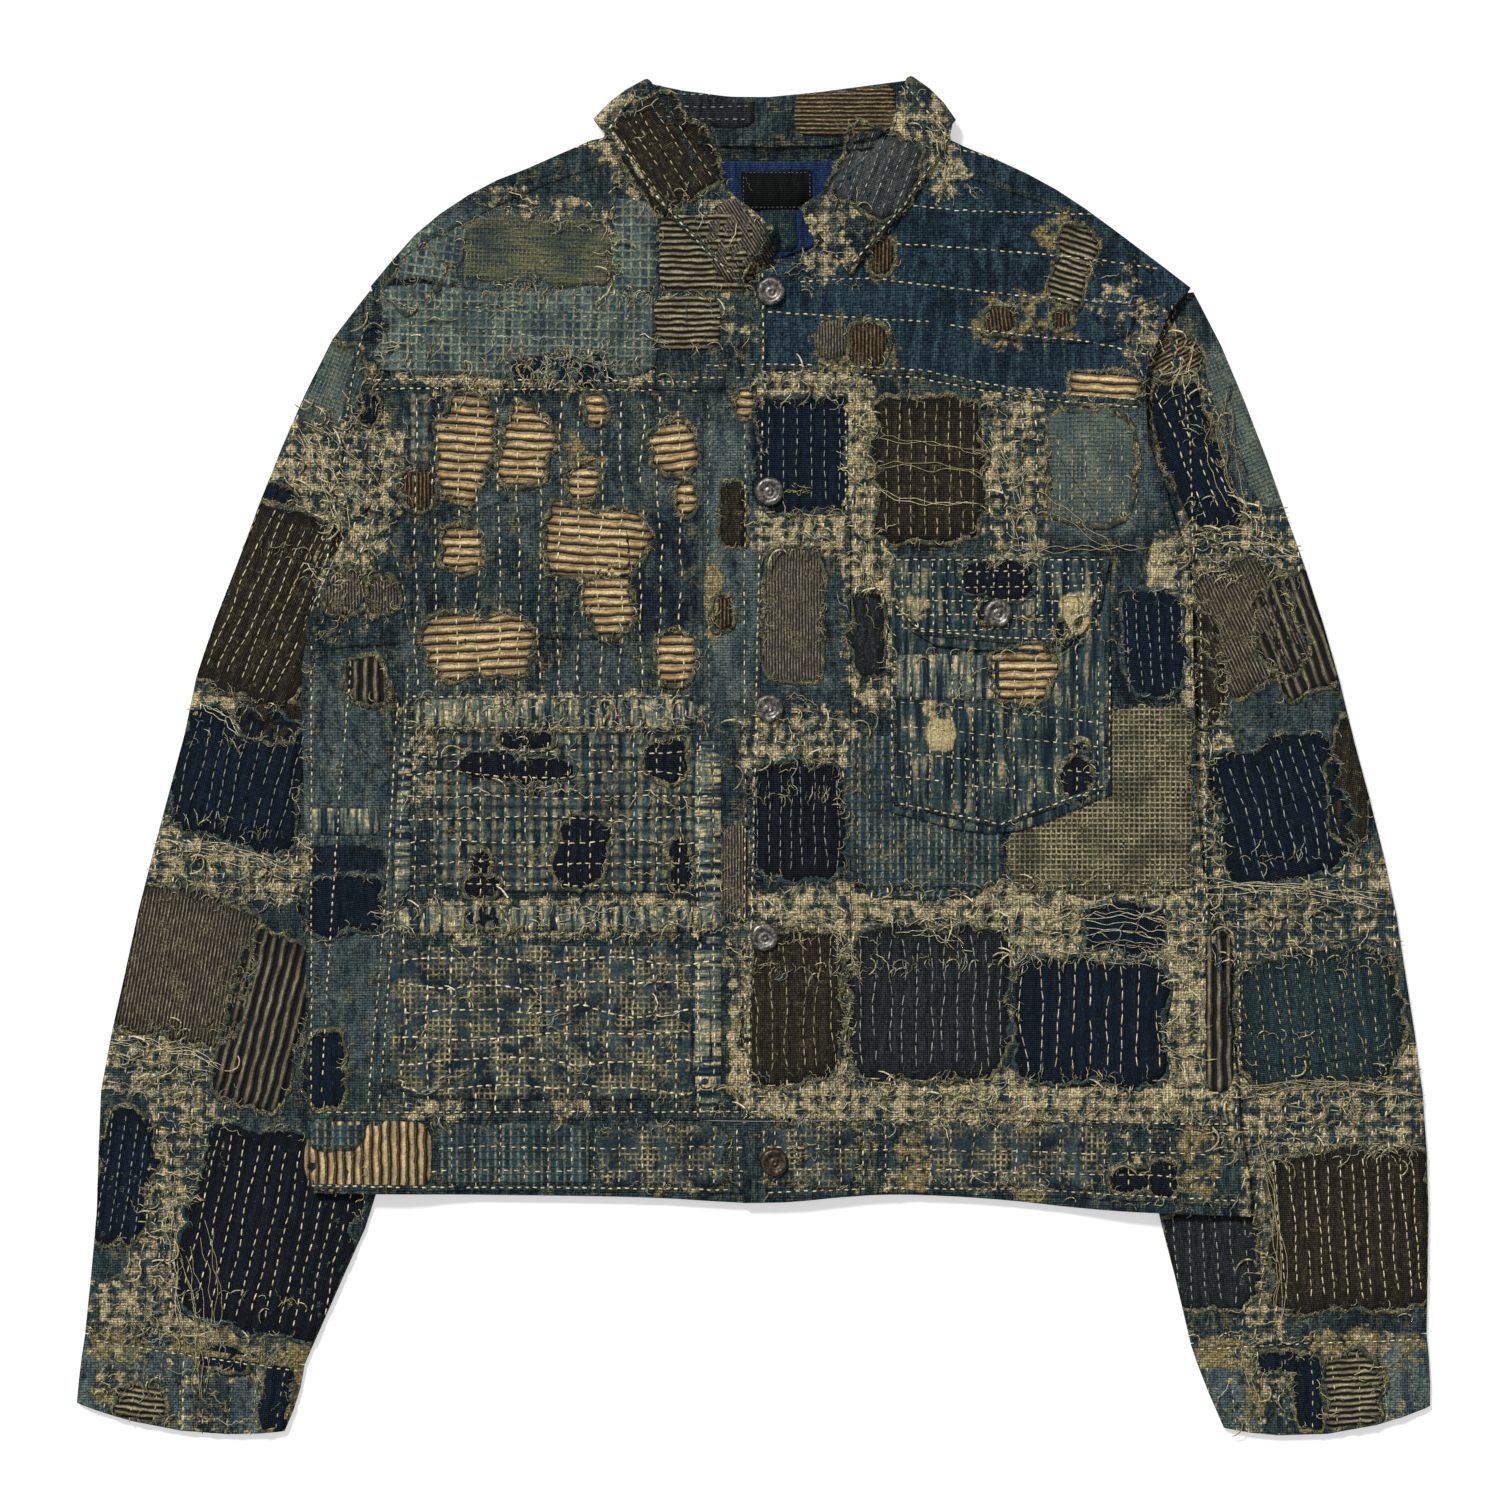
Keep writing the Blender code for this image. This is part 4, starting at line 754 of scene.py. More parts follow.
def shell_area(mesh):
    """The area of a closed wall's own middle, half of all its faces, in square metres."""
    areas = np.empty(len(mesh.polygons))
    mesh.polygons.foreach_get("area", areas)
    return float(areas.sum()) / 2


def divide_top(bm, fine, coarse):
    for _ in range(5):
        bm.normal_update()
        long = [
            e
            for e in bm.edges
            if e.calc_length() > (fine if all(f.normal.z > 0.3 for f in e.link_faces) else coarse)
        ]
        if not long:
            break
        bmesh.ops.subdivide_edges(bm, edges=long, cuts=1, use_grid_fill=True)
        bmesh.ops.triangulate(bm, faces=[f for f in bm.faces if len(f.verts) > 4])


def dress(node, cloth, fine, creased=True, crumple=0.35, fold=0.5):
    bm = bmesh.new()
    bm.from_mesh(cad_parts[node].data)
    bmesh.ops.remove_doubles(bm, verts=bm.verts, dist=1e-5)
    bm.normal_update()
    edges = [
        e
        for e in bm.edges
        if len(e.link_faces) == 2 and e.calc_face_angle(0) > 0.9 and any(f.normal.z > 0.5 for f in e.link_faces)
    ]
    bmesh.ops.bevel(
        bm, geom=edges, offset=fold * MM, offset_type="OFFSET", affect="EDGES", segments=2, profile=0.5,
        material=-1, clamp_overlap=True,
    )
    divide_top(bm, fine * MM, 14 * MM)
    bm.normal_update()
    top = [v for v in bm.verts if v.normal.z > 0.6]
    inner = [v for v in top if all(f.normal.z > 0.3 for f in v.link_faces)]
    if creased:
        for _ in range(3):
            bmesh.ops.smooth_vert(bm, verts=inner, factor=0.5, use_axis_x=False, use_axis_y=False, use_axis_z=True)
        places = np.array([v.co[:2] for v in top])
        lift = crease_height(places) + pucker_height(places)
        for v, height in zip(top, lift):
            place = v.co / (11 * MM)
            v.co.z += MM * (height + crumple * noise.fractal(Vector((place.x, place.y, 3.0)), 0.7, 2.1, 4))
    piece = new_piece(node + "_cloth", bm, cloth)
    piece.data.set_sharp_from_angle(angle=math.radians(60))
    paint_wear_and_shade(piece)
    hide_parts(node)
    return piece


# %% [markdown]
# The jacket's own panels. The back lies under the fronts and shows only at the neck and sides, so it stays coarse.

# %% Panels, sleeves, bands and collar
SHELLS = {}
for node, cloth, slot, fine in [
    ("back_panel", "worn denim", "denim", 13.0), ("waistband_back", "worn denim", "denim", 13.0),
    ("sleeve_right", "worn denim", "denim", 5.2), ("sleeve_left", "worn denim", "denim", 5.2),
    ("cuff_right", "worn denim", "denim", 4.0), ("cuff_left", "worn denim", "denim", 4.0),
    ("neck_lining", "blue lining", "blue_lining", 5.0), ("collar", "worn denim", "denim", 3.4),
    ("front_right", "worn denim", "denim", 4.0), ("yoke_right", "worn denim", "denim", 4.0),
    ("button_band", "worn denim", "denim", 4.0), ("waistband_right", "worn denim", "denim", 4.0),
    ("front_left", "worn denim", "denim", 4.0), ("yoke_left", "smooth indigo", "dark_denim", 4.0),
    ("buttonhole_band", "worn denim", "denim", 4.0), ("waistband_left", "worn denim", "denim", 4.0),
    ("chest_pocket", "pocket plaid", "denim", 3.6), ("pocket_flap", "pocket plaid", "denim", 3.2),
]:
    SHELLS[node] = dress(node, cloth, fine, creased=node != "neck_lining")
faces = {node: len(piece.data.polygons) for node, piece in SHELLS.items()}
print("panels dressed:", faces, "in all", sum(faces.values()))

# %% [markdown]
# A patch's pattern follows its own threads, so each patch carries a UV map in metres along and across it. The
# pocket and its flap get theirs straight from the table they lie on.

# %% Threads of a piece, as its UV map
def lay_threads(piece):
    mesh = piece.data
    layer = mesh.uv_layers.new(name="threads")
    for loop in mesh.loops:
        layer.data[loop.index].uv = mesh.vertices[loop.vertex_index].co[:2]


for node in ("chest_pocket", "pocket_flap", "neck_lining"):
    lay_threads(SHELLS[node])


# %% [markdown]
# Later pieces are laid on what is already there, so a finder drops a point straight down onto the top of any
# list of pieces, as a hand lays a patch down.

# %% Drop a point onto the cloth
def finder(pieces):
    corners, faces = [], []
    for piece in pieces:
        start = len(corners)
        corners += [v.co.copy() for v in piece.data.vertices]
        faces += [[start + i for i in p.vertices] for p in piece.data.polygons]
    return BVHTree.FromPolygons(corners, faces)


def drop(tree, x, y, nothing=0.003):
    """The height of the cloth under x, y, or nothing where there is none."""
    place = tree.ray_cast(Vector((x, y, 0.1)), Vector((0, 0, -1)))[0]
    return place.z if place else nothing


ground = finder(SHELLS.values())

# %% [markdown]
# A sewn or shown-through patch is a square grid drawn into a rounded, ragged outline, dropped onto the cloth and
# given its thickness by extruding it upwards. Its rim is a ring of fray round the same outline: the worn edge of
# the layer above, standing a little proud, so that the patch lies in its shade as it does on the jacket.

# %% Patches and their frayed rims
def outline(angle, half_across, half_along, square, ragged, seed):
    """How far the edge is from the middle. Ragged is how far it wanders, in mm."""
    u, w = abs(math.cos(angle) / half_across), abs(math.sin(angle) / half_along)
    reach = (u**square + w**square) ** (-1 / square)
    x, y = reach * math.cos(angle) / MM, reach * math.sin(angle) / MM
    sway = 0.8 * noise.noise(Vector((x / 19, y / 19, seed))) + 0.6 * noise.noise(Vector((x / 7, y / 7, seed)))
    return max(0.3 * reach, reach + ragged * MM * sway * 1.6)


def raggedness(half_x, half_y):
    """Large patches wander more along their edges than small holes."""
    return min(4.6, 110 * (half_x + half_y))


def place_on(tree, x, y, turn, middle, lift):
    """A point of a patch on the cloth, drawn in towards the patch's middle where it would hang over an edge."""
    x, y = turned(x, y, turn)
    share, height = 1.0, None
    while height is None and share > 0.2:
        px, py = middle[0] + share * x, middle[1] + share * y
        height, share = drop(tree, px, py, None), share - 0.02
    return Vector((px, py, (height or 0.003) + lift))


def add_patch(bm, tree, middle, half_across, half_along, turn, square, ragged, lift, thick, cell, seed, rim_shadow=0.0):
    """Adds one patch to bm, with its threads' places in the UV layer. Half sizes in metres, the rest in mm."""
    threads = bm.loops.layers.uv.get("threads") or bm.loops.layers.uv.new("threads")
    edge = bm.verts.layers.float.get("edge") or bm.verts.layers.float.new("edge")
    count = [max(3, min(40, round(2 * half / (cell * MM)))) for half in (half_across, half_along)]
    made = bmesh.ops.create_grid(bm, x_segments=count[0], y_segments=count[1], size=1.0)["verts"]
    local = {}
    for v in made:
        u, w = v.co.x, v.co.y
        share = max(abs(u), abs(w))
        angle = math.atan2(w * half_along, u * half_across)
        reach = share * outline(angle, half_across, half_along, square, ragged, seed)
        x, y = reach * math.cos(angle), reach * math.sin(angle)
        local[v] = (x, y)
        # painted shadow along the patch's edge, kept in the edge attribute for the finish to darken
        v[edge] = rim_shadow * share**7
        v.co = place_on(tree, x, y, turn, middle, lift * MM)
        crumple = noise.fractal(v.co / (9 * MM), 0.7, 2.1, 3)
        v.co.z += 0.35 * MM * crumple * (1 - share**4)
    faces = list({f for v in made for f in v.link_faces})
    for f in faces:
        for loop in f.loops:
            loop[threads].uv = local[loop.vert]
    grown = bmesh.ops.extrude_face_region(bm, geom=faces, use_keep_orig=True)["geom"]
    upper = [g for g in grown if isinstance(g, bmesh.types.BMVert)]
    bmesh.ops.translate(bm, verts=upper, vec=(0, 0, thick * MM))
    bmesh.ops.recalc_face_normals(bm, faces=list({f for v in made + upper for f in v.link_faces}))


def covers(patch, x, y):
    """Whether a patch, given as middle, half sizes, turn and squareness, covers a place."""
    middle, half_across, half_along, turn, square = patch
    u, w = turned(x - middle[0], y - middle[1], -turn)
    return abs(u / half_across) ** square + abs(w / half_along) ** square < 0.9


def add_rim(
    bm, tree, middle, half_across, half_along, turn, square, ragged, seed, width, height, inside, others=()
):
    """A closed ring of fray on the outline. Width, height and inside in mm."""
    round_it = 4 * (half_across + half_along) * 0.9
    count = max(20, min(170, int(round_it / (1.7 * MM))))
    made = bmesh.ops.create_grid(bm, x_segments=count, y_segments=4, size=0.5)["verts"]
    for v in made:
        share, row = v.co.x + 0.5, round((v.co.y + 0.5) * 4) % 4
        angle = 2 * math.pi * share
        reach = outline(angle, half_across, half_along, square, ragged, seed)
        x, y = reach * math.cos(angle) / MM, reach * math.sin(angle) / MM
        beat = noise.noise(Vector((x / 2.6, y / 2.6, seed)))
        slow = noise.noise(Vector((x / 11, y / 11, seed + 9)))
        inner, outer = -inside * (0.7 + 1.5 * beat), width * (1 + 0.9 * slow)
        across = (inner, -0.2 * inside + 0.8 * beat, 0.45 * width, outer)[row]
        rise = (0.15 + 0.4 * abs(beat), height * (1 + 0.7 * beat), height * (0.6 + 0.6 * slow), -0.25)[row]
        reach += across * MM
        v.co = place_on(tree, reach * math.cos(angle), reach * math.sin(angle), turn, middle, rise * MM)
        if any(covers(other, v.co.x, v.co.y) for other in others):
            v.co.z = max(v.co.z - 1.6 * MM, 0.2 * MM)
    bmesh.ops.remove_doubles(bm, verts=made, dist=1e-6)


# %% [markdown]
# The largest patches are solids of their own, so each is replaced one for one, in the same place and size: middle
# across and up from the jacket's centre, half width and half length in mm, turn, and how square its corners are.

# %% The patches that stand for solids
SEWN = [
    ("patch_brown_chest", 106, 173, 31, 43, 0, 5, "brown", "brown"),
    ("patch_faded_plaid", 202, 173, 26, 34, 0, 4, "faded plaid", "teal"),
    ("patch_ribbed_band", 24, 84, 18, 41, 0, 5, "grey rib", "khaki"),
    ("patch_navy_side", 240, 68, 18, 32, 4, 4, "navy", "navy"),
    ("patch_navy_band", 22, -38, 24, 34, 0, 6, "black", "navy"),
    ("patch_dashed_teal", 101, -68, 38, 18, 0, 5, "dashed teal", "teal"),
    ("patch_khaki_check", 240, -34, 19, 44, 0, 5, "khaki check", "khaki"),
    ("patch_brown_hem", 24, -155, 25, 38, 0, 6, "brown", "brown"),
    ("patch_charcoal_hem", 106, -148, 45, 43, 0, 6, "charcoal", "charcoal"),
    ("patch_navy_hem", 203, -162, 44, 36, 0, 6, "navy", "navy"),
    ("patch_stitched_grid", -108, -34, 84, 48, 0, 8, "grid plaid", "teal"),
    ("patch_chest_ticking", -108, 108, 34, 38, 0, 4, "worn denim", "cream"),
    ("patch_lower_grid", -122, -160, 96, 46, 0, 8, "old plaid", "khaki"),
    ("patch_yoke_ticking", -40, 260, 20, 16, 0, 5, "bar ticking", "cream"),
    ("patch_shoulder_black", -203, 285, 12, 20, -38, 4, "black", "navy"),
    ("patch_yoke_denim", 186, 286, 44, 38, 0, 5, "smooth indigo", "dark_denim"),
    ("patch_brown_sleeve", -297, 96, 19, 46, -24, 5, "brown", "brown"),
    ("patch_navy_elbow", -311, -12, 34, 32, -14, 5, "navy", "navy"),
    ("patch_corduroy_right", -345, -124, 30, 38, -12, 5, "corduroy", "khaki"),
    ("patch_black_forearm", -308, -297, 34, 38, -12, 6, "black", "navy"),
    ("patch_navy_shoulder", 261, 182, 12, 44, 22, 4, "navy", "navy"),
    ("patch_corduroy_left", 297, 80, 24, 34, 24, 4, "corduroy", "khaki"),
    ("patch_navy_sleeve", 318, -34, 32, 38, 16, 5, "navy", "navy"),
    ("patch_teal_forearm", 341, -148, 44, 36, 8, 5, "teal", "teal"),
    ("patch_brown_forearm", 360, -284, 36, 40, 4, 6, "brown", "brown"),
]
RIMMED = {"patch_faded_plaid", "patch_ribbed_band", "patch_navy_side", "patch_shoulder_black"}

rims = {"khaki fray": bmesh.new(), "teal fray": bmesh.new()}
PATCHES = []
for row, (node, x, y, half_x, half_y, turn, square, cloth, slot) in enumerate(SEWN):
    bm = bmesh.new()
    middle = (x * MM, y * MM)
    flush = node not in RIMMED
    add_patch(
        bm, ground, middle, half_x * MM, half_y * MM, turn, square, ragged=0.6 if flush else 2.4,
        lift=0.15, thick=0.55 if flush else 0.5, cell=3.4, seed=row * 1.7,
    )
    piece = new_piece(node + "_cloth", bm, cloth)
    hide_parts(node)
    paint_wear_and_shade(piece)
    PATCHES.append(piece)
    if not flush:
        add_rim(
            rims["khaki fray" if row % 3 else "teal fray"], ground, middle, half_x * MM, half_y * MM, turn, square,
            2.4, row * 1.7, width=2.8, height=1.15, inside=1.8,
        )
print(len(PATCHES), "sewn patches laid")

# %% [markdown]
# The smaller ones show through holes or sit as darns: ticking behind the right chest, ribbed pills on the left
# yoke, navy behind the grids. They are one mesh for each cloth. A row gives left, top, right, bottom on the grid,
# turn, squareness and the kind of edge: 0 plain, 1 with a frayed rim, 2 ragged, 3 plain and over its neighbour.

# %% Small patches and holes
RIMMED_EDGE, RAGGED_EDGE, OVERLAP = 1, 2, 3
SHOWN = {
    "ticking": [
        (440, 390, 492, 506, -4, 2.6, 1), (500, 404, 552, 486, -3, 2.5, 1), (584, 392, 606, 426, 0, 2.6, 1),
        (568, 462, 602, 502, 0, 2.4, 1), (538, 504, 644, 578, -4, 2.5, 1), (584, 566, 634, 637, 0, 2.6, 1),
        (649, 422, 694, 474, 6, 2.8, 1), (677, 480, 696, 517, 0, 3, 1), (442, 530, 482, 573, 0, 3, 1),
        (420, 615, 534, 678, 3, 4, 1), (657, 630, 694, 687, 0, 3, 1), (737, 388, 756, 417, 0, 3, 1),
        (988, 645, 1055, 705, 0, 2.6, 1), (1070, 372, 1137, 405, -4, 4, 1),
    ],
    "long ticking": [
        (307, 1120, 430, 1190, 0, 6, 0),
    ],
    "dark ticking": [
        (1205, 930, 1233, 1092, 0, 6, 0), (225, 935, 305, 1110, -14, 5, 1), (1262, 575, 1340, 692, 20, 5, 1),
        (345, 657, 388, 707, 0, 2.5, 1),
    ],
    "bar ticking": [
        (660, 216, 752, 292, 0, 6, 0), (1325, 1355, 1382, 1427, 3, 4, 1), (1052, 226, 1092, 304, -18, 4, 1),
        (113, 1386, 168, 1420, -8, 4, 1),
    ],
    "brown rib": [
        (402, 467, 437, 513, 0, 2.5, 1), (980, 305, 1020, 335, 8, 2.5, 1), (1050, 310, 1072, 330, 0, 2.5, 1),
        (870, 240, 893, 275, 0, 2.5, 1), (845, 322, 885, 372, 0, 3, 1), (713, 597, 733, 630, 0, 4, 1),
    ],
    "cross rib": [(795, 82, 895, 136, 0, 6, 0), (1147, 340, 1200, 380, 30, 3, 1)],
    "grey rib": [
        (722, 828, 748, 920, 0, 6, 0), (705, 205, 768, 280, 32, 4, 0), (815, 322, 848, 360, 0, 3, 0),
        (320, 568, 367, 616, 0, 2.5, 1), (366, 576, 400, 614, 0, 2.5, 1),
    ],
    "grey wool": [(838, 130, 918, 212, -20, 5, 1)],
    "seam bars": [
        (413, 699, 697, 728, 0, 9, 0), (398, 905, 722, 932, 0, 9, 0), (522, 914, 894, 940, 90, 9, 0),
        (326, 808, 480, 824, 90, 9, 0), (310, 808, 380, 834, 0, 8, 0), (893, 655, 1000, 700, 0, 8, 0),
    ],
    "corduroy": [(112, 892, 252, 1040, -10, 5, 1), (1196, 562, 1296, 690, 24, 4, 1)],
    "charcoal": [
        (850, 926, 1010, 1080, 0, 8, 1), (852, 590, 885, 675, 0, 4, 1), (652, 84, 755, 128, 0, 6, 0),
        (1165, 1207, 1258, 1310, 4, 5, 1),
    ],
    "brown": [
        (207, 508, 333, 700, -22, 6, 1), (1268, 1150, 1432, 1312, 3, 6, 1), (876, 394, 984, 544, 0, 7, 1),
        (746, 930, 840, 1082, 0, 8, 1), (720, 483, 745, 547, 0, 5, 1), (622, 98, 708, 208, 32, 4, 1),
        (235, 700, 305, 740, -10, 3, 1), (1192, 615, 1223, 725, 4, 4, 1), (1332, 712, 1374, 838, -6, 4, 1),
    ],
    "navy": [
        (174, 712, 306, 846, -12, 6, 1), (1216, 742, 1346, 880, 14, 6, 1), (1012, 958, 1166, 1086, 0, 7, 1),
        (1166, 372, 1222, 536, 20, 4, 1), (757, 396, 848, 513, 0, 8, 1), (510, 354, 610, 386, 0, 5, 1),
        (357, 393, 378, 425, 0, 2.5, 1), (262, 485, 296, 505, -20, 3, 1), (95, 1110, 150, 1245, -8, 4, 1),
        (197, 1348, 250, 1372, -8, 4, 1), (260, 1360, 291, 1430, -6, 4, 1), (1258, 1353, 1300, 1375, 3, 4, 1),
        (1295, 1356, 1324, 1430, 2, 4, 1), (305, 877, 381, 937, 6, 3, 1), (303, 1033, 347, 1107, 0, 3, 1),
        (1080, 905, 1165, 950, 0, 4, 1),
    ],
    "black": [
        (188, 1132, 354, 1330, -12, 6, 1), (750, 762, 846, 880, 0, 6, 1), (500, 729, 553, 750, 0, 3, 1),
        (458, 754, 573, 781, -3, 3, 1), (645, 738, 688, 782, 0, 3, 1), (555, 817, 607, 888, 0, 2.6, 1),
        (670, 837, 690, 890, 0, 3, 1), (472, 853, 491, 874, 0, 2.5, 1), (465, 877, 500, 901, 0, 3, 1),
        (465, 903, 500, 928, 0, 3, 1), (960, 562, 1036, 600, 0, 3, 1), (1062, 757, 1091, 806, 0, 2.6, 1),
        (1110, 1165, 1150, 1192, 0, 3, 1), (1150, 1162, 1177, 1195, 0, 3, 1), (1072, 742, 1088, 752, 0, 2.5, 1),
        (975, 600, 1000, 622, 0, 2.6, 1), (1055, 620, 1065, 640, 0, 2.6, 1),
    ],
    "green check": [
        (464, 217, 610, 286, -2, 7, 2),
    ],
    "khaki check": [(1008, 706, 1192, 894, 0, 9, 2)],
    "faded plaid": [(297, 340, 363, 430, -22, 4, 1), (1228, 345, 1262, 515, 23, 5, 2)],
    "dashed teal": [(846, 736, 1004, 890, 0, 9, 0), (307, 1118, 368, 1148, 0, 4, 3), (440, 1124, 590, 1186, 0, 8, 0)],
    "old plaid": [(930, 1124, 1100, 1190, 0, 8, 2), (760, 1124, 858, 1186, 0, 6, 2), (600, 1126, 724, 1188, 0, 6, 2)],
    "grid plaid": [(404, 395, 436, 470, 0, 6, 0)],
    "yoke grid": [(380, 288, 654, 378, -1, 9, 2), (614, 204, 658, 290, 0, 8, 2), (398, 220, 464, 290, -8, 6, 2)],
    "teal": [(760, 206, 796, 250, 0, 6, 0), (1236, 952, 1402, 1086, 6, 5, 1)],
}
FIRST_ON_SLEEVE = 16  # the sewn patches from here on lie on the sleeves
ON_SLEEVES = ("sleeve_right", "sleeve_left", "cuff_right", "cuff_left")
under = finder(list(SHELLS.values()) + PATCHES)
body = finder([p for node, p in SHELLS.items() if node not in ON_SLEEVES])
on_sleeves = finder([SHELLS[node] for node in ON_SLEEVES] + PATCHES[FIRST_ON_SLEEVE:])
below_pocket = finder([p for node, p in SHELLS.items() if node not in ("chest_pocket", "pocket_flap")] + PATCHES)
BELOW_POCKET = {"green check", "khaki check", "dashed teal", "old plaid"}
SMALL = []
seed = 50.0
for cloth, rows in SHOWN.items():
    bm = bmesh.new()
    laid = [(*box_at(*row[:4]), *row[4:6]) for row in rows]
    for own, (*corners, turn, square, edge) in enumerate(rows):
        seed += 1.3
        middle, half_x, half_y = box_at(*corners)
        ragged = raggedness(half_x, half_y) if edge else 1.4
        tree = below_pocket if cloth in BELOW_POCKET else under
        if drop(body, middle.x, middle.y, None) is None:
            tree = on_sleeves
        lift = 0.7 if edge == OVERLAP else 0.12
        # patches with a frayed rim get the painted shadow along their edge
        rim_shadow = edge == RIMMED_EDGE
        add_patch(bm, tree, middle, half_x, half_y, turn, square, ragged, lift, 0.35, 3.6, seed, rim_shadow)
        if edge == RIMMED_EDGE:
            kind = "teal fray" if half_x > 22 * MM and cloth in ("black", "navy") else "khaki fray"
            add_rim(
                rims[kind], on_sleeves if tree is on_sleeves else under, middle, half_x, half_y, turn, square,
                ragged, seed, 2.9, 1.05, 1.6, laid[:own] + laid[own + 1 :],
            )
    SMALL.append(new_piece("shown_" + cloth.replace(" ", "_"), bm, cloth))
RIMS = [
    new_piece("rims_" + kind.replace(" ", "_"), bm, kind)
    for kind, bm in rims.items()
]
rim_faces = sum(len(p.data.polygons) for p in RIMS)
print(len(SMALL), "small patch meshes and", len(RIMS), "rim meshes,", rim_faces, "rim faces")

# %% [markdown]
# Panels are joined by folding one edge over the other and sewing through, which leaves a raised band along each
# seam. Each band is a narrow closed strip drawn along a line of grid places, with its two edges pressed down.

# %% Folded seams
SEAMS = [
    [(372, 385), (480, 384), (600, 386), (700, 386), (757, 386)],
    [(764, 368), (840, 370), (920, 374), (1000, 390), (1060, 397), (1142, 404)],
    [(700, 394), (700, 740), (692, 1110)],
    [(763, 262), (762, 390), (760, 520), (757, 720), (752, 900), (748, 1110)], [(851, 378), (851, 520)],
    [(403, 655), (392, 850), (378, 1110)], [(312, 648), (405, 640)], [(312, 1118), (500, 1117), (744, 1117)],
    [(766, 1117), (1000, 1117), (1234, 1122)], [(314, 1186), (440, 1188), (600, 1189), (742, 1191)],
    [(764, 1195), (900, 1191), (1040, 1193), (1232, 1203)],
    [(894, 652), (894, 803), (1000, 825), (1106, 786), (1108, 652)],
    [(892, 558), (893, 600), (920, 632), (1000, 640), (1065, 641), (1097, 593), (1108, 558)],
    [(900, 556), (1100, 556)], [(638, 90), (609, 130), (650, 190), (700, 245), (731, 275)],
    [(903, 82), (949, 140), (905, 206), (851, 265)], [(366, 314), (350, 380), (339, 460), (329, 540), (317, 606)],
    [(1163, 304), (1179, 370), (1190, 440), (1194, 520), (1193, 610)], [(90, 1335), (190, 1351), (298, 1366)],
    [(1194, 1345), (1300, 1340), (1422, 1335)], [(404, 730), (560, 730), (692, 729)],
    [(404, 905), (560, 903), (690, 904)], [(388, 276), (430, 238), (488, 207), (548, 181), (610, 160)],
    [(1152, 272), (1110, 238), (1052, 204), (984, 180), (938, 165)], [(1012, 930), (1012, 1080)],
    [(1205, 700), (1207, 920)],
]


def add_seam(bm, tree, line, half=2.2, height=0.75):
    """Half width and height in mm, along a line of places in metres."""
    lengths = [0.0]
    for a, b in zip(line, line[1:]):
        lengths.append(lengths[-1] + (b - a).length)
    count = max(4, int(lengths[-1] / (2.4 * MM)))
    made = bmesh.ops.create_grid(bm, x_segments=count, y_segments=4, size=0.5)["verts"]
    for v in made:
        along, row = (v.co.x + 0.5) * lengths[-1], round((v.co.y + 0.5) * 4) % 4
        index = min(len(line) - 2, sum(1 for reach in lengths[1:] if reach < along))
        way = (line[index + 1] - line[index]).normalized()
        place = line[index] + way * (along - lengths[index])
        beat = noise.noise(place / (4 * MM))
        place += Vector((-way.y, way.x, 0)) * half * MM * (-1, -0.7, 0.7, 1)[row] * (1 + 0.25 * beat)
        rise = (-0.2, height * (1 + 0.4 * beat), height * (1 - 0.4 * beat), -0.2)[row]
        place.z = drop(tree, place.x, place.y, 0.002) + rise * MM
        v.co = place
    bmesh.ops.remove_doubles(bm, verts=made, dist=1e-6)
    bmesh.ops.holes_fill(bm, edges=[e for e in bm.edges if e.is_boundary], sides=4)


bm = bmesh.new()
for points in SEAMS:
    add_seam(bm, ground, [spot(*point) for point in points])
bmesh.ops.recalc_face_normals(bm, faces=bm.faces)
SEAM_FOLDS = new_piece("seam_folds", bm, "worn denim")
paint_wear_and_shade(SEAM_FOLDS)
print(len(SEAMS), "seams folded,", len(SEAM_FOLDS.data.polygons), "faces")

# %% [markdown]
# The buttons are plated tops with a raised ring and a sunk middle. Each is spun from a profile, closed underneath,
# and pressed onto its solid's place. The worked ends of the buttonholes are threads, and come with the loose ones.

# %% Buttons
def button(node, cloth):
    low, high = (Vector(corner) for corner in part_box(node))
    middle, radius = (low + high) / 2, (high.x - low.x) / 2
    tall = high.z - low.z
    profile = [
        (0.0, 0.42), (0.10, 0.45), (0.14, 0.62), (0.20, 0.64), (0.24, 0.40), (0.40, 0.36), (0.50, 0.52),
        (0.62, 0.86), (0.74, 1.0), (0.86, 0.92), (0.96, 0.66), (1.0, 0.34), (0.96, 0.0), (0.0, 0.0),
    ]
    bm = bmesh.new()
    chain = [bm.verts.new((r * radius, 0, low.z + h * tall)) for r, h in profile]
    edges = [bm.edges.new(pair) for pair in zip(chain, chain[1:])]
    bmesh.ops.spin(
        bm, geom=chain + edges, cent=(0, 0, 0), axis=(0, 0, 1), angle=2 * math.pi, steps=40, use_merge=True,
    )
    bmesh.ops.remove_doubles(bm, verts=bm.verts, dist=1e-6)
    for v in bm.verts:
        reach = v.co.xy.length / radius
        if 0.55 < reach < 0.9 and v.co.z > low.z + 0.5 * tall:
            v.co.z += 0.12 * MM * math.cos(20 * math.atan2(v.co.y, v.co.x))
    bmesh.ops.translate(bm, verts=bm.verts, vec=(middle.x, middle.y, 0))
    bmesh.ops.recalc_face_normals(bm, faces=bm.faces)
    piece = new_piece(node + "_top", bm, cloth)
    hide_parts(node)
    return piece


BUTTONS = [button(f"button_{i}", "brown metal" if i == 5 else "aged metal") for i in range(1, 6)]
BUTTONS.append(button("pocket_button", "aged metal"))
BUTTON_PLACES = [tuple((a + b) / 2 for a, b in zip(*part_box(f"button_{i}")))[:2] for i in range(1, 6)]
BUTTON_PLACES.append(tuple((a + b) / 2 for a, b in zip(*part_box("pocket_button")))[:2])
print(len(BUTTONS), "buttons spun")

# %% [markdown]
# Stitches, tufts and loops are one small template each, put on many points. Geometry Nodes sets the template on
# every point with that point's own turn, size and tint, and the result is made real and kept as a plain mesh.

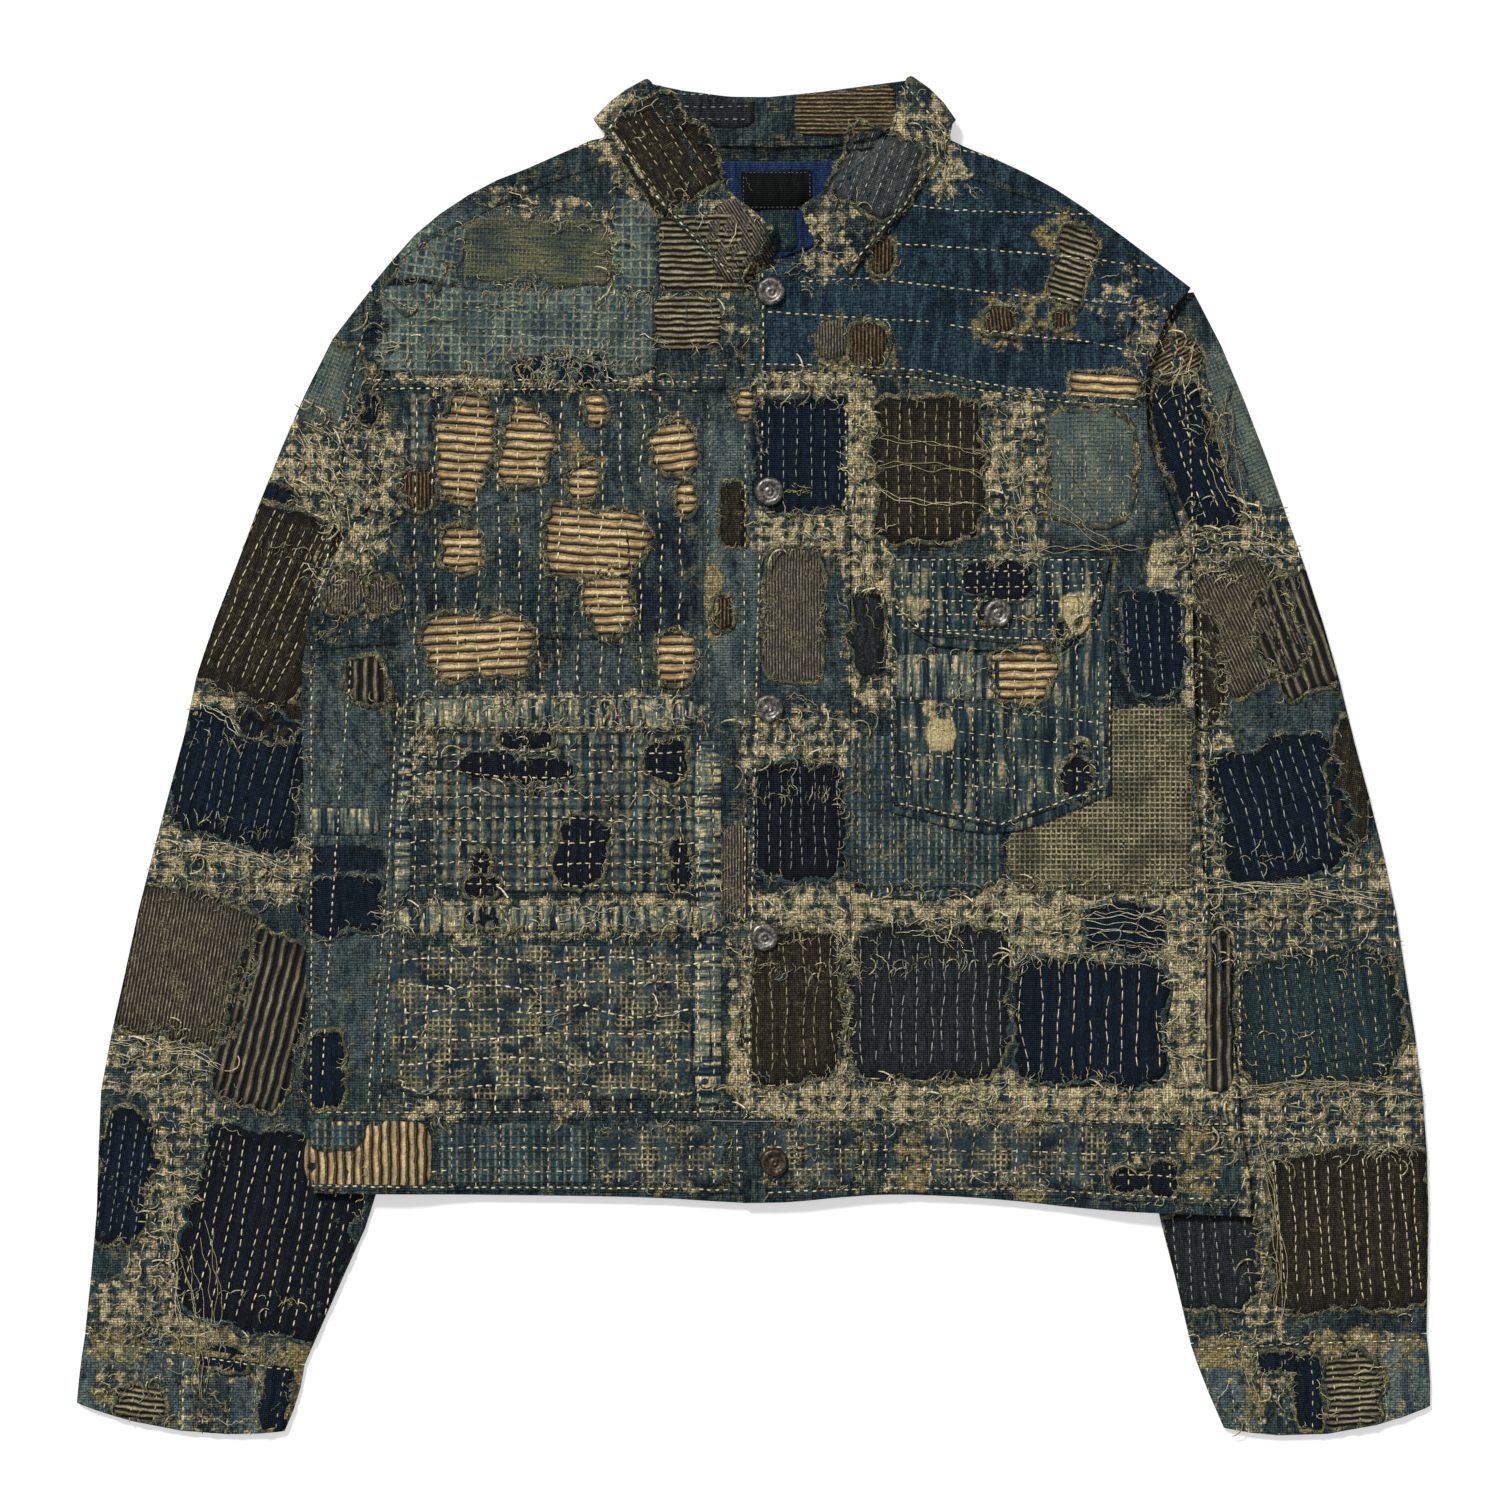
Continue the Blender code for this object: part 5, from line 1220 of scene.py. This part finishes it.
# %% Put a template on many points
def scatter(name, template, spots, cloth):
    """spots: rows of place, turn, size and tint."""
    mesh = bpy.data.meshes.new(name)
    mesh.from_pydata([s[0] for s in spots], [], [])
    for key, kind, column in (("turn", "FLOAT_VECTOR", 1), ("size", "FLOAT_VECTOR", 2), ("tint", "FLOAT", 3)):
        layer = mesh.attributes.new(key, kind, "POINT")
        values = np.array([s[column] for s in spots], dtype=np.float32).ravel()
        layer.data.foreach_set("vector" if kind == "FLOAT_VECTOR" else "value", values)
    piece = bpy.data.objects.new(name, mesh)
    bpy.context.collection.objects.link(piece)
    tree = bpy.data.node_groups.new(name, "GeometryNodeTree")
    tree.interface.new_socket("Geometry", in_out="INPUT", socket_type="NodeSocketGeometry")
    tree.interface.new_socket("Geometry", in_out="OUTPUT", socket_type="NodeSocketGeometry")
    start, end = tree.nodes.new("NodeGroupInput"), tree.nodes.new("NodeGroupOutput")
    source = tree.nodes.new("GeometryNodeObjectInfo")
    source.inputs["Object"].default_value = template
    put = tree.nodes.new("GeometryNodeInstanceOnPoints")
    real = tree.nodes.new("GeometryNodeRealizeInstances")
    tree.links.new(start.outputs[0], put.inputs["Points"])
    tree.links.new(source.outputs["Geometry"], put.inputs["Instance"])
    for key, socket in (("turn", "Rotation"), ("size", "Scale")):
        read = tree.nodes.new("GeometryNodeInputNamedAttribute")
        read.data_type = "FLOAT_VECTOR"
        read.inputs["Name"].default_value = key
        tree.links.new(read.outputs["Attribute"], put.inputs[socket])
    tree.links.new(put.outputs["Instances"], real.inputs["Geometry"])
    tree.links.new(real.outputs["Geometry"], end.inputs[0])
    piece.modifiers.new("put", "NODES").node_group = tree
    graph = bpy.context.evaluated_depsgraph_get()
    made = bpy.data.meshes.new_from_object(piece.evaluated_get(graph), preserve_all_data_layers=True, depsgraph=graph)
    piece.modifiers.clear()
    piece.data = made
    made.materials.clear()
    made.materials.append(CLOTHS[cloth])
    made.polygons.foreach_set("use_smooth", [True] * len(made.polygons))
    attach(piece, "root")
    print(name, len(spots), "put,", len(made.polygons), "faces")
    return piece


def template_of(name, bm):
    mesh = bpy.data.meshes.new(name)
    bm.to_mesh(mesh)
    bm.free()
    made = bpy.data.objects.new(name, mesh)
    bpy.context.collection.objects.link(made)
    return made


# %% [markdown]
# The neck label is a plain dark woven cloth with a stitched border and nothing on it.

# %% The bare label
bm = bmesh.new()
bm.from_mesh(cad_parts["neck_label"].data)
bmesh.ops.remove_doubles(bm, verts=bm.verts, dist=1e-5)
label = new_piece("neck_label_cloth", bm, "label")
label.data.set_sharp_from_angle(angle=math.radians(50))
lay_threads(label)
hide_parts("neck_label")

# %% [markdown]
# Running stitch goes over and under, so it shows as short raised grains in a row. A row is a line of grid places,
# and a field is many rows side by side.

# %% Rows and fields of stitches
table_top = finder(list(SHELLS.values()) + PATCHES + SMALL + RIMS + [SEAM_FOLDS, label])
DARK = [
    (*box_at(*row[:4]), *row[4:6])
    for cloth in ("navy", "black", "charcoal", "brown", "corduroy", "teal", "ticking", "dark ticking")
    for row in SHOWN[cloth]
]
stitches = {"cream thread": [], "grey thread": [], "khaki thread": [], "teal thread": [], "ink thread": []}
draw = random.Random(7)


def sew(line, stitch=3.6, gap=2.4, kind="cream thread", stray=0.3, width=0.5, missing=0.04, around=()):
    """Sews along a line of places in metres."""
    lengths = [(b - a).length for a, b in zip(line, line[1:])]
    total, walked = sum(lengths), draw.uniform(0, (stitch + gap) * MM)
    while walked + stitch * MM < total:
        half = stitch * MM * draw.uniform(0.44, 0.56)
        place, index = walked + half, 0
        while index < len(lengths) - 1 and place > lengths[index]:
            place -= lengths[index]
            index += 1
        way = (line[index + 1] - line[index]).normalized()
        middle = line[index] + way * place
        middle += Vector((-way.y, way.x, 0)) * draw.uniform(-stray, stray) * MM
        walked += half * 2 + gap * MM * draw.uniform(0.8, 1.25)
        if draw.random() < missing or any(covers(patch, middle.x, middle.y) for patch in around):
            continue
        near, far = middle - way * half, middle + way * half
        rise = drop(table_top, far.x, far.y) - drop(table_top, near.x, near.y)
        rise = max(-0.8 * half, min(0.8 * half, rise))
        height = drop(table_top, middle.x, middle.y, None)
        if height is None:
            continue
        yaw = math.atan2(way.y, way.x) + draw.uniform(-0.10, 0.10)
        stitches[kind].append((
            (middle.x, middle.y, height + 0.22 * MM), (0, -math.atan2(rise, 2 * half), yaw),
            (half, width * MM * draw.uniform(0.85, 1.2), 0.36 * MM), draw.random(),
        ))


def sew_spots(points, **kw):
    sew([spot(*p) for p in points], **kw)


def field(
    left, top, right, bottom, turn, spacing, way, stitch=3.6, gap=2.4, kind="cream thread", wander=2.5, width=0.42,
    around=(),
):
    middle, *half = box_at(left, top, right, bottom)
    side, run = (0, 1) if way == "down" else (1, 0)
    rows = max(1, round(2 * half[side] / (spacing * STEP)))
    for row in range(rows):
        base = -half[side] + (row + 0.5) * 2 * half[side] / rows
        phase = draw.uniform(0, 50)
        line = []
        for i in range(13):
            along = half[run] * (1 - 2 * i / 12)
            off = base + wander * STEP * noise.noise(Vector((along / (30 * MM), row * 0.35, phase)))
            x, y = (off, along) if way == "down" else (along, off)
            line.append(middle + Vector((*turned(x, y, turn), 0)))
        sew(line, stitch, gap, kind, 0.2, width, 0.04, around)


ROWS = [
    # yoke rows and yoke seams
    [(905, 206), (960, 211), (1040, 213), (1130, 216)],
    [(880, 243), (960, 248), (1040, 254), (1110, 262), (1160, 270)],
    [(800, 282), (870, 278), (950, 288), (1030, 297), (1110, 302), (1150, 306)],
    [(765, 312), (840, 317), (930, 322), (1010, 334), (1090, 342), (1150, 356)],
    [(762, 364), (840, 366), (920, 370), (1000, 386), (1060, 393), (1140, 400)],
    [(762, 372), (840, 374), (920, 378), (1000, 394), (1060, 401), (1140, 408)],
    [(372, 380), (480, 380), (600, 381), (700, 382)], [(372, 389), (480, 389), (600, 390), (700, 391)],
    # shoulders and armholes
    [(380, 250), (420, 215), (480, 185), (540, 160), (610, 138)],
    [(1160, 250), (1120, 214), (1060, 180), (990, 158), (930, 142)],
    [(368, 310), (352, 380), (340, 460), (330, 540), (318, 610)],
    [(1170, 300), (1182, 370), (1190, 440), (1193, 520), (1192, 610)],
    # closure edges, side seams and strips
    [(763, 258), (763, 380), (760, 520), (756, 720), (752, 900), (748, 1110)], [(846, 400), (846, 520)],
    [(352, 660), (340, 800), (330, 950), (322, 1100)], [(398, 700), (390, 850), (378, 1000), (368, 1110)],
    [(409, 660), (400, 850), (388, 1000), (380, 1110)], [(312, 640), (312, 800), (312, 960), (312, 1110)],
    [(1200, 600), (1203, 720), (1206, 860), (1206, 925)], [(1238, 930), (1240, 1020), (1242, 1110)],
    # waistband, top and bottom
    [(312, 1112), (500, 1112), (740, 1112)], [(312, 1185), (440, 1187), (600, 1188), (740, 1190)],
    [(764, 1120), (1000, 1120), (1230, 1124)], [(764, 1192), (900, 1188), (1040, 1190), (1235, 1200)],
    [(764, 1128), (764, 1188)],
    # pocket and flap
    [(893, 560), (1110, 560)], [(893, 604), (921, 631), (1000, 638), (1064, 640), (1096, 592)],
    [(892, 655), (892, 802)], [(892, 802), (1000, 824), (1106, 785)], [(1108, 785), (1110, 655)],
    # chest rows
    [(410, 697), (560, 697), (692, 696)], [(404, 728), (560, 728), (692, 727)],
    # cuffs
    [(88, 1340), (190, 1356), (300, 1372)], [(92, 1424), (190, 1440), (288, 1446)],
    [(1194, 1350), (1300, 1344), (1424, 1340)], [(1200, 1440), (1300, 1438), (1418, 1428)],
    [(183, 1358), (183, 1436)],
    # collar edges
    [(636, 92), (610, 130), (650, 190), (700, 245), (732, 276)], [(903, 84), (948, 140), (905, 205), (852, 264)],
    [(650, 86), (700, 84), (800, 84), (895, 82)],
]
# painted shadow: near-continuous lines of dark ink thread laid along the sharp folds, where a ridge crease meets a
# trough
FOLD_SHADOW_LINES = [
    [(307, 705), (352, 738), (400, 790), (440, 842)], [(307, 645), (350, 630), (400, 612), (440, 575)],
    [(473, 513), (530, 490), (600, 457)], [(600, 880), (640, 905), (670, 930)],
    [(1058, 455), (1080, 490), (1100, 522)],
]
for row in FIELDS:
    field(*row)
for points in FOLD_SHADOW_LINES:
    sew_spots(points, stitch=6.0, gap=0.1, kind="ink thread", stray=0.1, width=0.3)
for left, top, right, bottom, turn, strength in WEAR_AND_SHADE["fray"]:
    if strength >= 0.7:
        field(left, top, right, bottom, turn, 13, "across", 6.5, 6.0, "khaki thread", 8, 0.4, DARK)
        field(left, top, right, bottom, turn, 17, "down", 4.5, 4.5, "cream thread", 6, 0.5, DARK)
for points in ROWS:
    sew_spots(points, stitch=3.0, gap=2.0)

low, high = (Vector(corner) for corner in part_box("neck_label"))
inset = 1.6 * MM
west, south, east, north = low.x + inset, low.y + inset, high.x - inset, high.y - inset
corners = [(west, south), (east, south), (east, north), (west, north)]
for a, b in zip(corners, corners[1:] + corners[:1]):
    sew([Vector((*a, 0)), Vector((*b, 0))], 1.6, 0.9, "teal thread", 0.05, 0.2, 0.0)

grain = bmesh.new()
bmesh.ops.create_icosphere(grain, subdivisions=1, radius=1.0)
for v in grain.verts:
    v.co.x = math.copysign(abs(v.co.x) ** 0.55, v.co.x)
grain = template_of("stitch", grain)
THREADS = [
    scatter("stitches_" + kind.split()[0], grain, spots, kind)
    for kind, spots in stitches.items()
    if spots
]
bpy.data.objects.remove(grain)

# %% [markdown]
# Fray is loose weft: short bent threads that curl over each other. Seven curls are bent by chance, each a thin
# three-sided tube, and thousands of them are put where the wear tables say fray, and round every rim.

# %% Curls of fray
def tube(bm, line, radius, sides=3):
    """A thin closed tube along a line of places, grown ring by ring."""
    way = (line[1] - line[0]).normalized()
    ring = bmesh.ops.create_circle(bm, segments=sides, radius=radius, cap_ends=True)["verts"]
    turn = Vector((0, 0, 1)).rotation_difference(way).to_matrix()
    for v in ring:
        v.co = line[0] + turn @ v.co
    face = next(iter(set.intersection(*(set(v.link_faces) for v in ring))))
    for i in range(1, len(line)):
        grown = bmesh.ops.extrude_face_region(bm, geom=[face])["geom"]
        ring = [g for g in grown if isinstance(g, bmesh.types.BMVert)]
        face = next(g for g in grown if isinstance(g, bmesh.types.BMFace))
        ahead = (line[min(i + 1, len(line) - 1)] - line[i - 1]).normalized()
        bend = way.rotation_difference(ahead).to_matrix()
        taper = 0.55 if i == len(line) - 1 else 1.0
        middle = sum((v.co for v in ring), Vector()) / len(ring)
        for v in ring:
            v.co = line[i] + bend @ (v.co - middle) * taper
        way = ahead


def curl_template(index):
    """One loose thread about 1 unit long: the first five nearly straight and wavy, the rest looped."""
    chance = random.Random(index)
    looped = index > 4
    heading, place, line = 0.0, Vector((-0.5 if not looped else -0.2, 0, 0)), []
    bend = chance.choice((-1, 1)) * chance.uniform(0.25, 0.55) if looped else 0.0
    for i in range(7):
        line.append(place + Vector((0, 0, 0.10 * math.sin(math.pi * i / 6) * chance.uniform(0.4, 1.3))))
        heading = heading + bend + chance.uniform(-0.35, 0.35) if looped else chance.uniform(-1.0, 1.0)
        place = place + Vector((math.cos(heading), math.sin(heading), 0)) * 0.18
    bm = bmesh.new()
    tube(bm, line, 0.032 if looped else 0.020)
    bmesh.ops.recalc_face_normals(bm, faces=bm.faces)
    return template_of(f"curl_{index}", bm)


THIN_CLOTH, CLEAR_OF_BUTTONS = 2.4 * MM, 11 * MM


def curl_at(x, y, size, yaw, lift):
    """One curl's row, or None where its ends would hang off the cloth."""
    reach = 0.55 * size
    ends = [drop(table_top, x + k * reach * math.cos(yaw), y + k * reach * math.sin(yaw), None) for k in (-1, 0, 1)]
    sides = [drop(table_top, x - k * reach * math.sin(yaw), y + k * reach * math.cos(yaw), None) for k in (-1, 1)]
    if None in ends + sides or min(ends + sides) < THIN_CLOTH:
        return None
    if any(math.hypot(x - bx, y - by) < CLEAR_OF_BUTTONS for bx, by in BUTTON_PLACES):
        return None
    slope = max(-0.4, min(0.4, math.atan2(ends[2] - ends[0], 2 * reach)))
    tilt = draw.uniform(-0.5, 0.5) * min(1.0, min(ends + sides) / (10 * MM))
    height = max(ends[1], (ends[0] + ends[2]) / 2) + lift * MM
    return (x, y, height), (tilt, -slope, yaw), (size,) * 3, draw.random()


def fray_spots(left, top, right, bottom, turn, amount, long=13.0):
    """Curls strewn over one worn place, most along or across it; amount is curls for each square centimetre."""
    middle, half_x, half_y = box_at(left, top, right, bottom)
    for _ in range(int(amount * half_x * half_y * 4e4)):
        x, y = (half * max(-1.1, min(1.1, draw.gauss(0, 0.58))) for half in (half_x, half_y))
        yaw = math.radians(turn) + draw.choice((0.0, 0.0, math.pi / 2)) + draw.gauss(0, 0.45)
        x, y = turned(x, y, turn)
        px, py = middle.x + x, middle.y + y
        if draw.random() < 0.85 and any(covers(patch, px, py) for patch in DARK):
            continue
        curls.append(curl_at(px, py, long * MM * draw.uniform(0.5, 1.5), yaw, draw.uniform(0.1, 0.8)))


def fray_edges(left, top, right, bottom, turn, strength):
    """Fine fringe hanging from the lower and upper edge of one worn place."""
    middle, half_x, half_y = box_at(left, top, right, bottom)
    for _ in range(int(strength * half_x * 2 / MM * 0.7)):
        x = half_x * draw.uniform(-1, 1)
        wave = noise.noise(Vector((x / (12 * MM), left, top)))
        y = draw.choice((-1, -1, 1)) * half_y * (1 + 0.3 * wave) + draw.gauss(0, 1.6) * MM
        yaw = math.radians(turn) + math.pi / 2 + draw.gauss(0, 0.7)
        x, y = turned(x, y, turn)
        curls.append(curl_at(middle.x + x, middle.y + y, draw.uniform(5.0, 13.0) * MM, yaw, draw.uniform(0.1, 0.8)))


def fray_round(middle, half_x, half_y, turn, square, ragged, seed, count):
    """Curls hanging from a rim, most of them pointing across it."""
    for _ in range(int(count)):
        angle = draw.uniform(0, 2 * math.pi)
        reach = outline(angle, half_x, half_y, square, ragged, seed) + draw.gauss(0.4, 1.3) * MM
        at = place_on(table_top, reach * math.cos(angle), reach * math.sin(angle), turn, middle, 0)
        yaw = math.radians(turn) + angle + draw.gauss(0, 0.8)
        curls.append(curl_at(at.x, at.y, draw.uniform(3.0, 8.0) * MM, yaw, draw.uniform(0.0, 0.7)))


curls = []
for left, top, right, bottom, turn, strength in WEAR_AND_SHADE["fray"]:
    fray_spots(left, top, right, bottom, turn, 1.7 * strength**2)
    fray_edges(left, top, right, bottom, turn, strength)
for row, (node, x, y, half_x, half_y, turn, square, cloth, slot) in enumerate(SEWN):
    if node in RIMMED:
        fray_round((x * MM, y * MM), half_x * MM, half_y * MM, turn, square, 2.4, row * 1.7, (half_x + half_y) * 1.1)
seed = 50.0
for cloth, rows in SHOWN.items():
    for *corners, turn, square, edge in rows:
        seed += 1.3
        if edge in (RIMMED_EDGE, RAGGED_EDGE):
            middle, half_x, half_y = box_at(*corners)
            ragged, count = raggedness(half_x, half_y), (half_x + half_y) * 1100
            fray_round(middle, half_x, half_y, turn, square, ragged, seed, count)
curls = [curl for curl in curls if curl]
draw.shuffle(curls)
CURL_THREADS = ("cream", "khaki", "teal", "khaki", "grey", "cream", "khaki")
for index, kind in enumerate(CURL_THREADS):
    form = curl_template(index)
    THREADS.append(scatter(f"fray_{index}", form, curls[index :: len(CURL_THREADS)], kind + " thread"))
    bpy.data.objects.remove(form)

# %% [markdown]
# Some threads came right out: long pale ones wander over the brown chest patch, hang in ladders over the slits
# above the hem, and trail down both sleeves. A row is from, to, sag, number of threads and thread colour.

# %% Long loose threads
LOOSE = [
    (868, 470, 985, 478, 6, 2, KHAKI), (866, 492, 975, 505, -5, 2, CREAM), (880, 440, 990, 455, 7, 2, KHAKI),
    (985, 430, 1035, 560, 8, 5, KHAKI), (1040, 500, 1110, 548, 9, 2, KHAKI), (1020, 560, 1150, 552, 6, 2, KHAKI),
    (1082, 912, 1170, 920, 8, 4, CREAM), (1085, 930, 1168, 944, 8, 4, CREAM), (1076, 948, 1160, 960, 7, 3, KHAKI),
    (820, 925, 858, 985, 12, 4, KHAKI), (846, 928, 862, 960, -9, 3, CREAM), (900, 930, 960, 948, 8, 3, CREAM),
    (185, 1250, 200, 1400, 9, 4, KHAKI), (170, 1180, 182, 1330, -8, 3, CREAM), (205, 1230, 215, 1345, 6, 3, KHAKI),
    (1258, 1140, 1275, 1330, 8, 4, KHAKI), (1225, 400, 1240, 500, -12, 4, KHAKI),
    (1230, 380, 1248, 470, -9, 3, INK), (1190, 340, 1160, 400, 8, 3, CREAM), (860, 545, 866, 600, 6, 3, KHAKI),
    (780, 900, 800, 940, 5, 3, KHAKI), (305, 430, 345, 540, 8, 4, CREAM), (300, 430, 380, 500, 9, 3, KHAKI),
    (160, 850, 290, 870, 7, 4, CREAM), (110, 1050, 225, 1070, 8, 4, CREAM), (1210, 890, 1390, 905, 9, 5, CREAM),
    (1240, 1090, 1420, 1095, 9, 5, KHAKI), (1200, 540, 1300, 560, 8, 4, CREAM), (510, 356, 520, 384, 3, 3, KHAKI),
    (540, 356, 545, 388, 3, 3, CREAM), (570, 356, 575, 385, 2, 3, KHAKI), (595, 356, 600, 388, 3, 2, CREAM),
    (195, 700, 240, 735, 5, 3, CREAM), (630, 180, 640, 210, 4, 2, KHAKI), (940, 120, 950, 190, 5, 3, KHAKI),
    (1240, 1340, 1250, 1400, 5, 2, KHAKI),
]
BUTTONHOLES = [(770, 275, -4), (768, 488, 2), (768, 705, 2), (763, 933, 2), (774, 1157, -6), (996, 615, 2)]
LOOSE += [
    (across + 18, down, across + 44, down + lean, 1, 3, kind)
    for across, down, lean in BUTTONHOLES
    for kind in ("ink thread", "khaki thread")
]
loose = {"cream thread": bmesh.new(), "khaki thread": bmesh.new(), "ink thread": bmesh.new()}
for across0, down0, across1, down1, sag, count, kind in LOOSE:
    for _ in range(count):
        shift = Vector((draw.uniform(-9, 9), draw.uniform(-9, 9), 0)) * STEP
        a, b = spot(across0, down0) + shift, spot(across1, down1) + shift * draw.uniform(0.2, 1.5)
        side = Vector((a.y - b.y, b.x - a.x, 0)).normalized() * sag * STEP * draw.uniform(0.4, 1.5)
        phase = draw.uniform(0, 40)
        line = []
        for i in range(16):
            share = i / 15
            place = a.lerp(b, share) + side * math.sin(math.pi * share)
            stray = [noise.noise(Vector((share * 5, phase, layer))) for layer in (0, 7)]
            place += Vector((*stray, 0)) * 4.5 * MM
            rise = 0.5 + 0.6 * abs(noise.noise(Vector((share * 6, phase, 3))))
            place.z = drop(table_top, place.x, place.y) + rise * MM
            line.append(place)
        tube(loose[kind], line, 0.20 * MM)
for kind, bm in loose.items():
    bmesh.ops.recalc_face_normals(bm, faces=bm.faces)
    piece = new_piece("loose_" + kind.split()[0], bm, kind)
    tint = piece.data.attributes.new("tint", "FLOAT", "POINT")
    tint.data.foreach_set("value", [0.6] * len(piece.data.vertices))
    THREADS.append(piece)

# %% [markdown]
# Every cloth piece's cut size is worked out and printed: width, length and the area of its own middle. A flattened
# tube's cut is all round it, and a patch's is its own outline. The meshes of small patches are given as one square
# with the cloth they'd take in all.

def declare(piece, tube_cut=False):
    low = [min(v.co[i] for v in piece.data.vertices) for i in (0, 1)]
    high = [max(v.co[i] for v in piece.data.vertices) for i in (0, 1)]
    width, length = ((high[i] - low[i]) * (2 if tube_cut and i == 0 else 1) for i in (0, 1))
    half = shell_area(piece.data)
    return round(width, 3), round(length, 3), round(half, 4)


def declare_joined(piece):
    half = shell_area(piece.data)
    side = math.sqrt(half)
    return round(side, 3), round(side, 3), round(half, 4)


CUTS = {}
for node, piece in SHELLS.items():
    CUTS[piece.name] = declare(
        piece,
        tube_cut=node in ON_SLEEVES,
    )
for piece in PATCHES + [label]:
    CUTS[piece.name] = declare(piece)
for piece in SMALL + RIMS + [SEAM_FOLDS]:
    CUTS[piece.name] = declare_joined(piece)
print(CUTS)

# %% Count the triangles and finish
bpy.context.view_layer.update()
graph = bpy.context.evaluated_depsgraph_get()
sizes = {
    p.name: sum(len(f.vertices) - 2 for f in p.evaluated_get(graph).data.polygons)
    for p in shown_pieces()
    if p.type == "MESH"
}
print("triangles in all:", sum(sizes.values()), "largest:", sorted(sizes.items(), key=lambda kv: -kv[1])[:6])
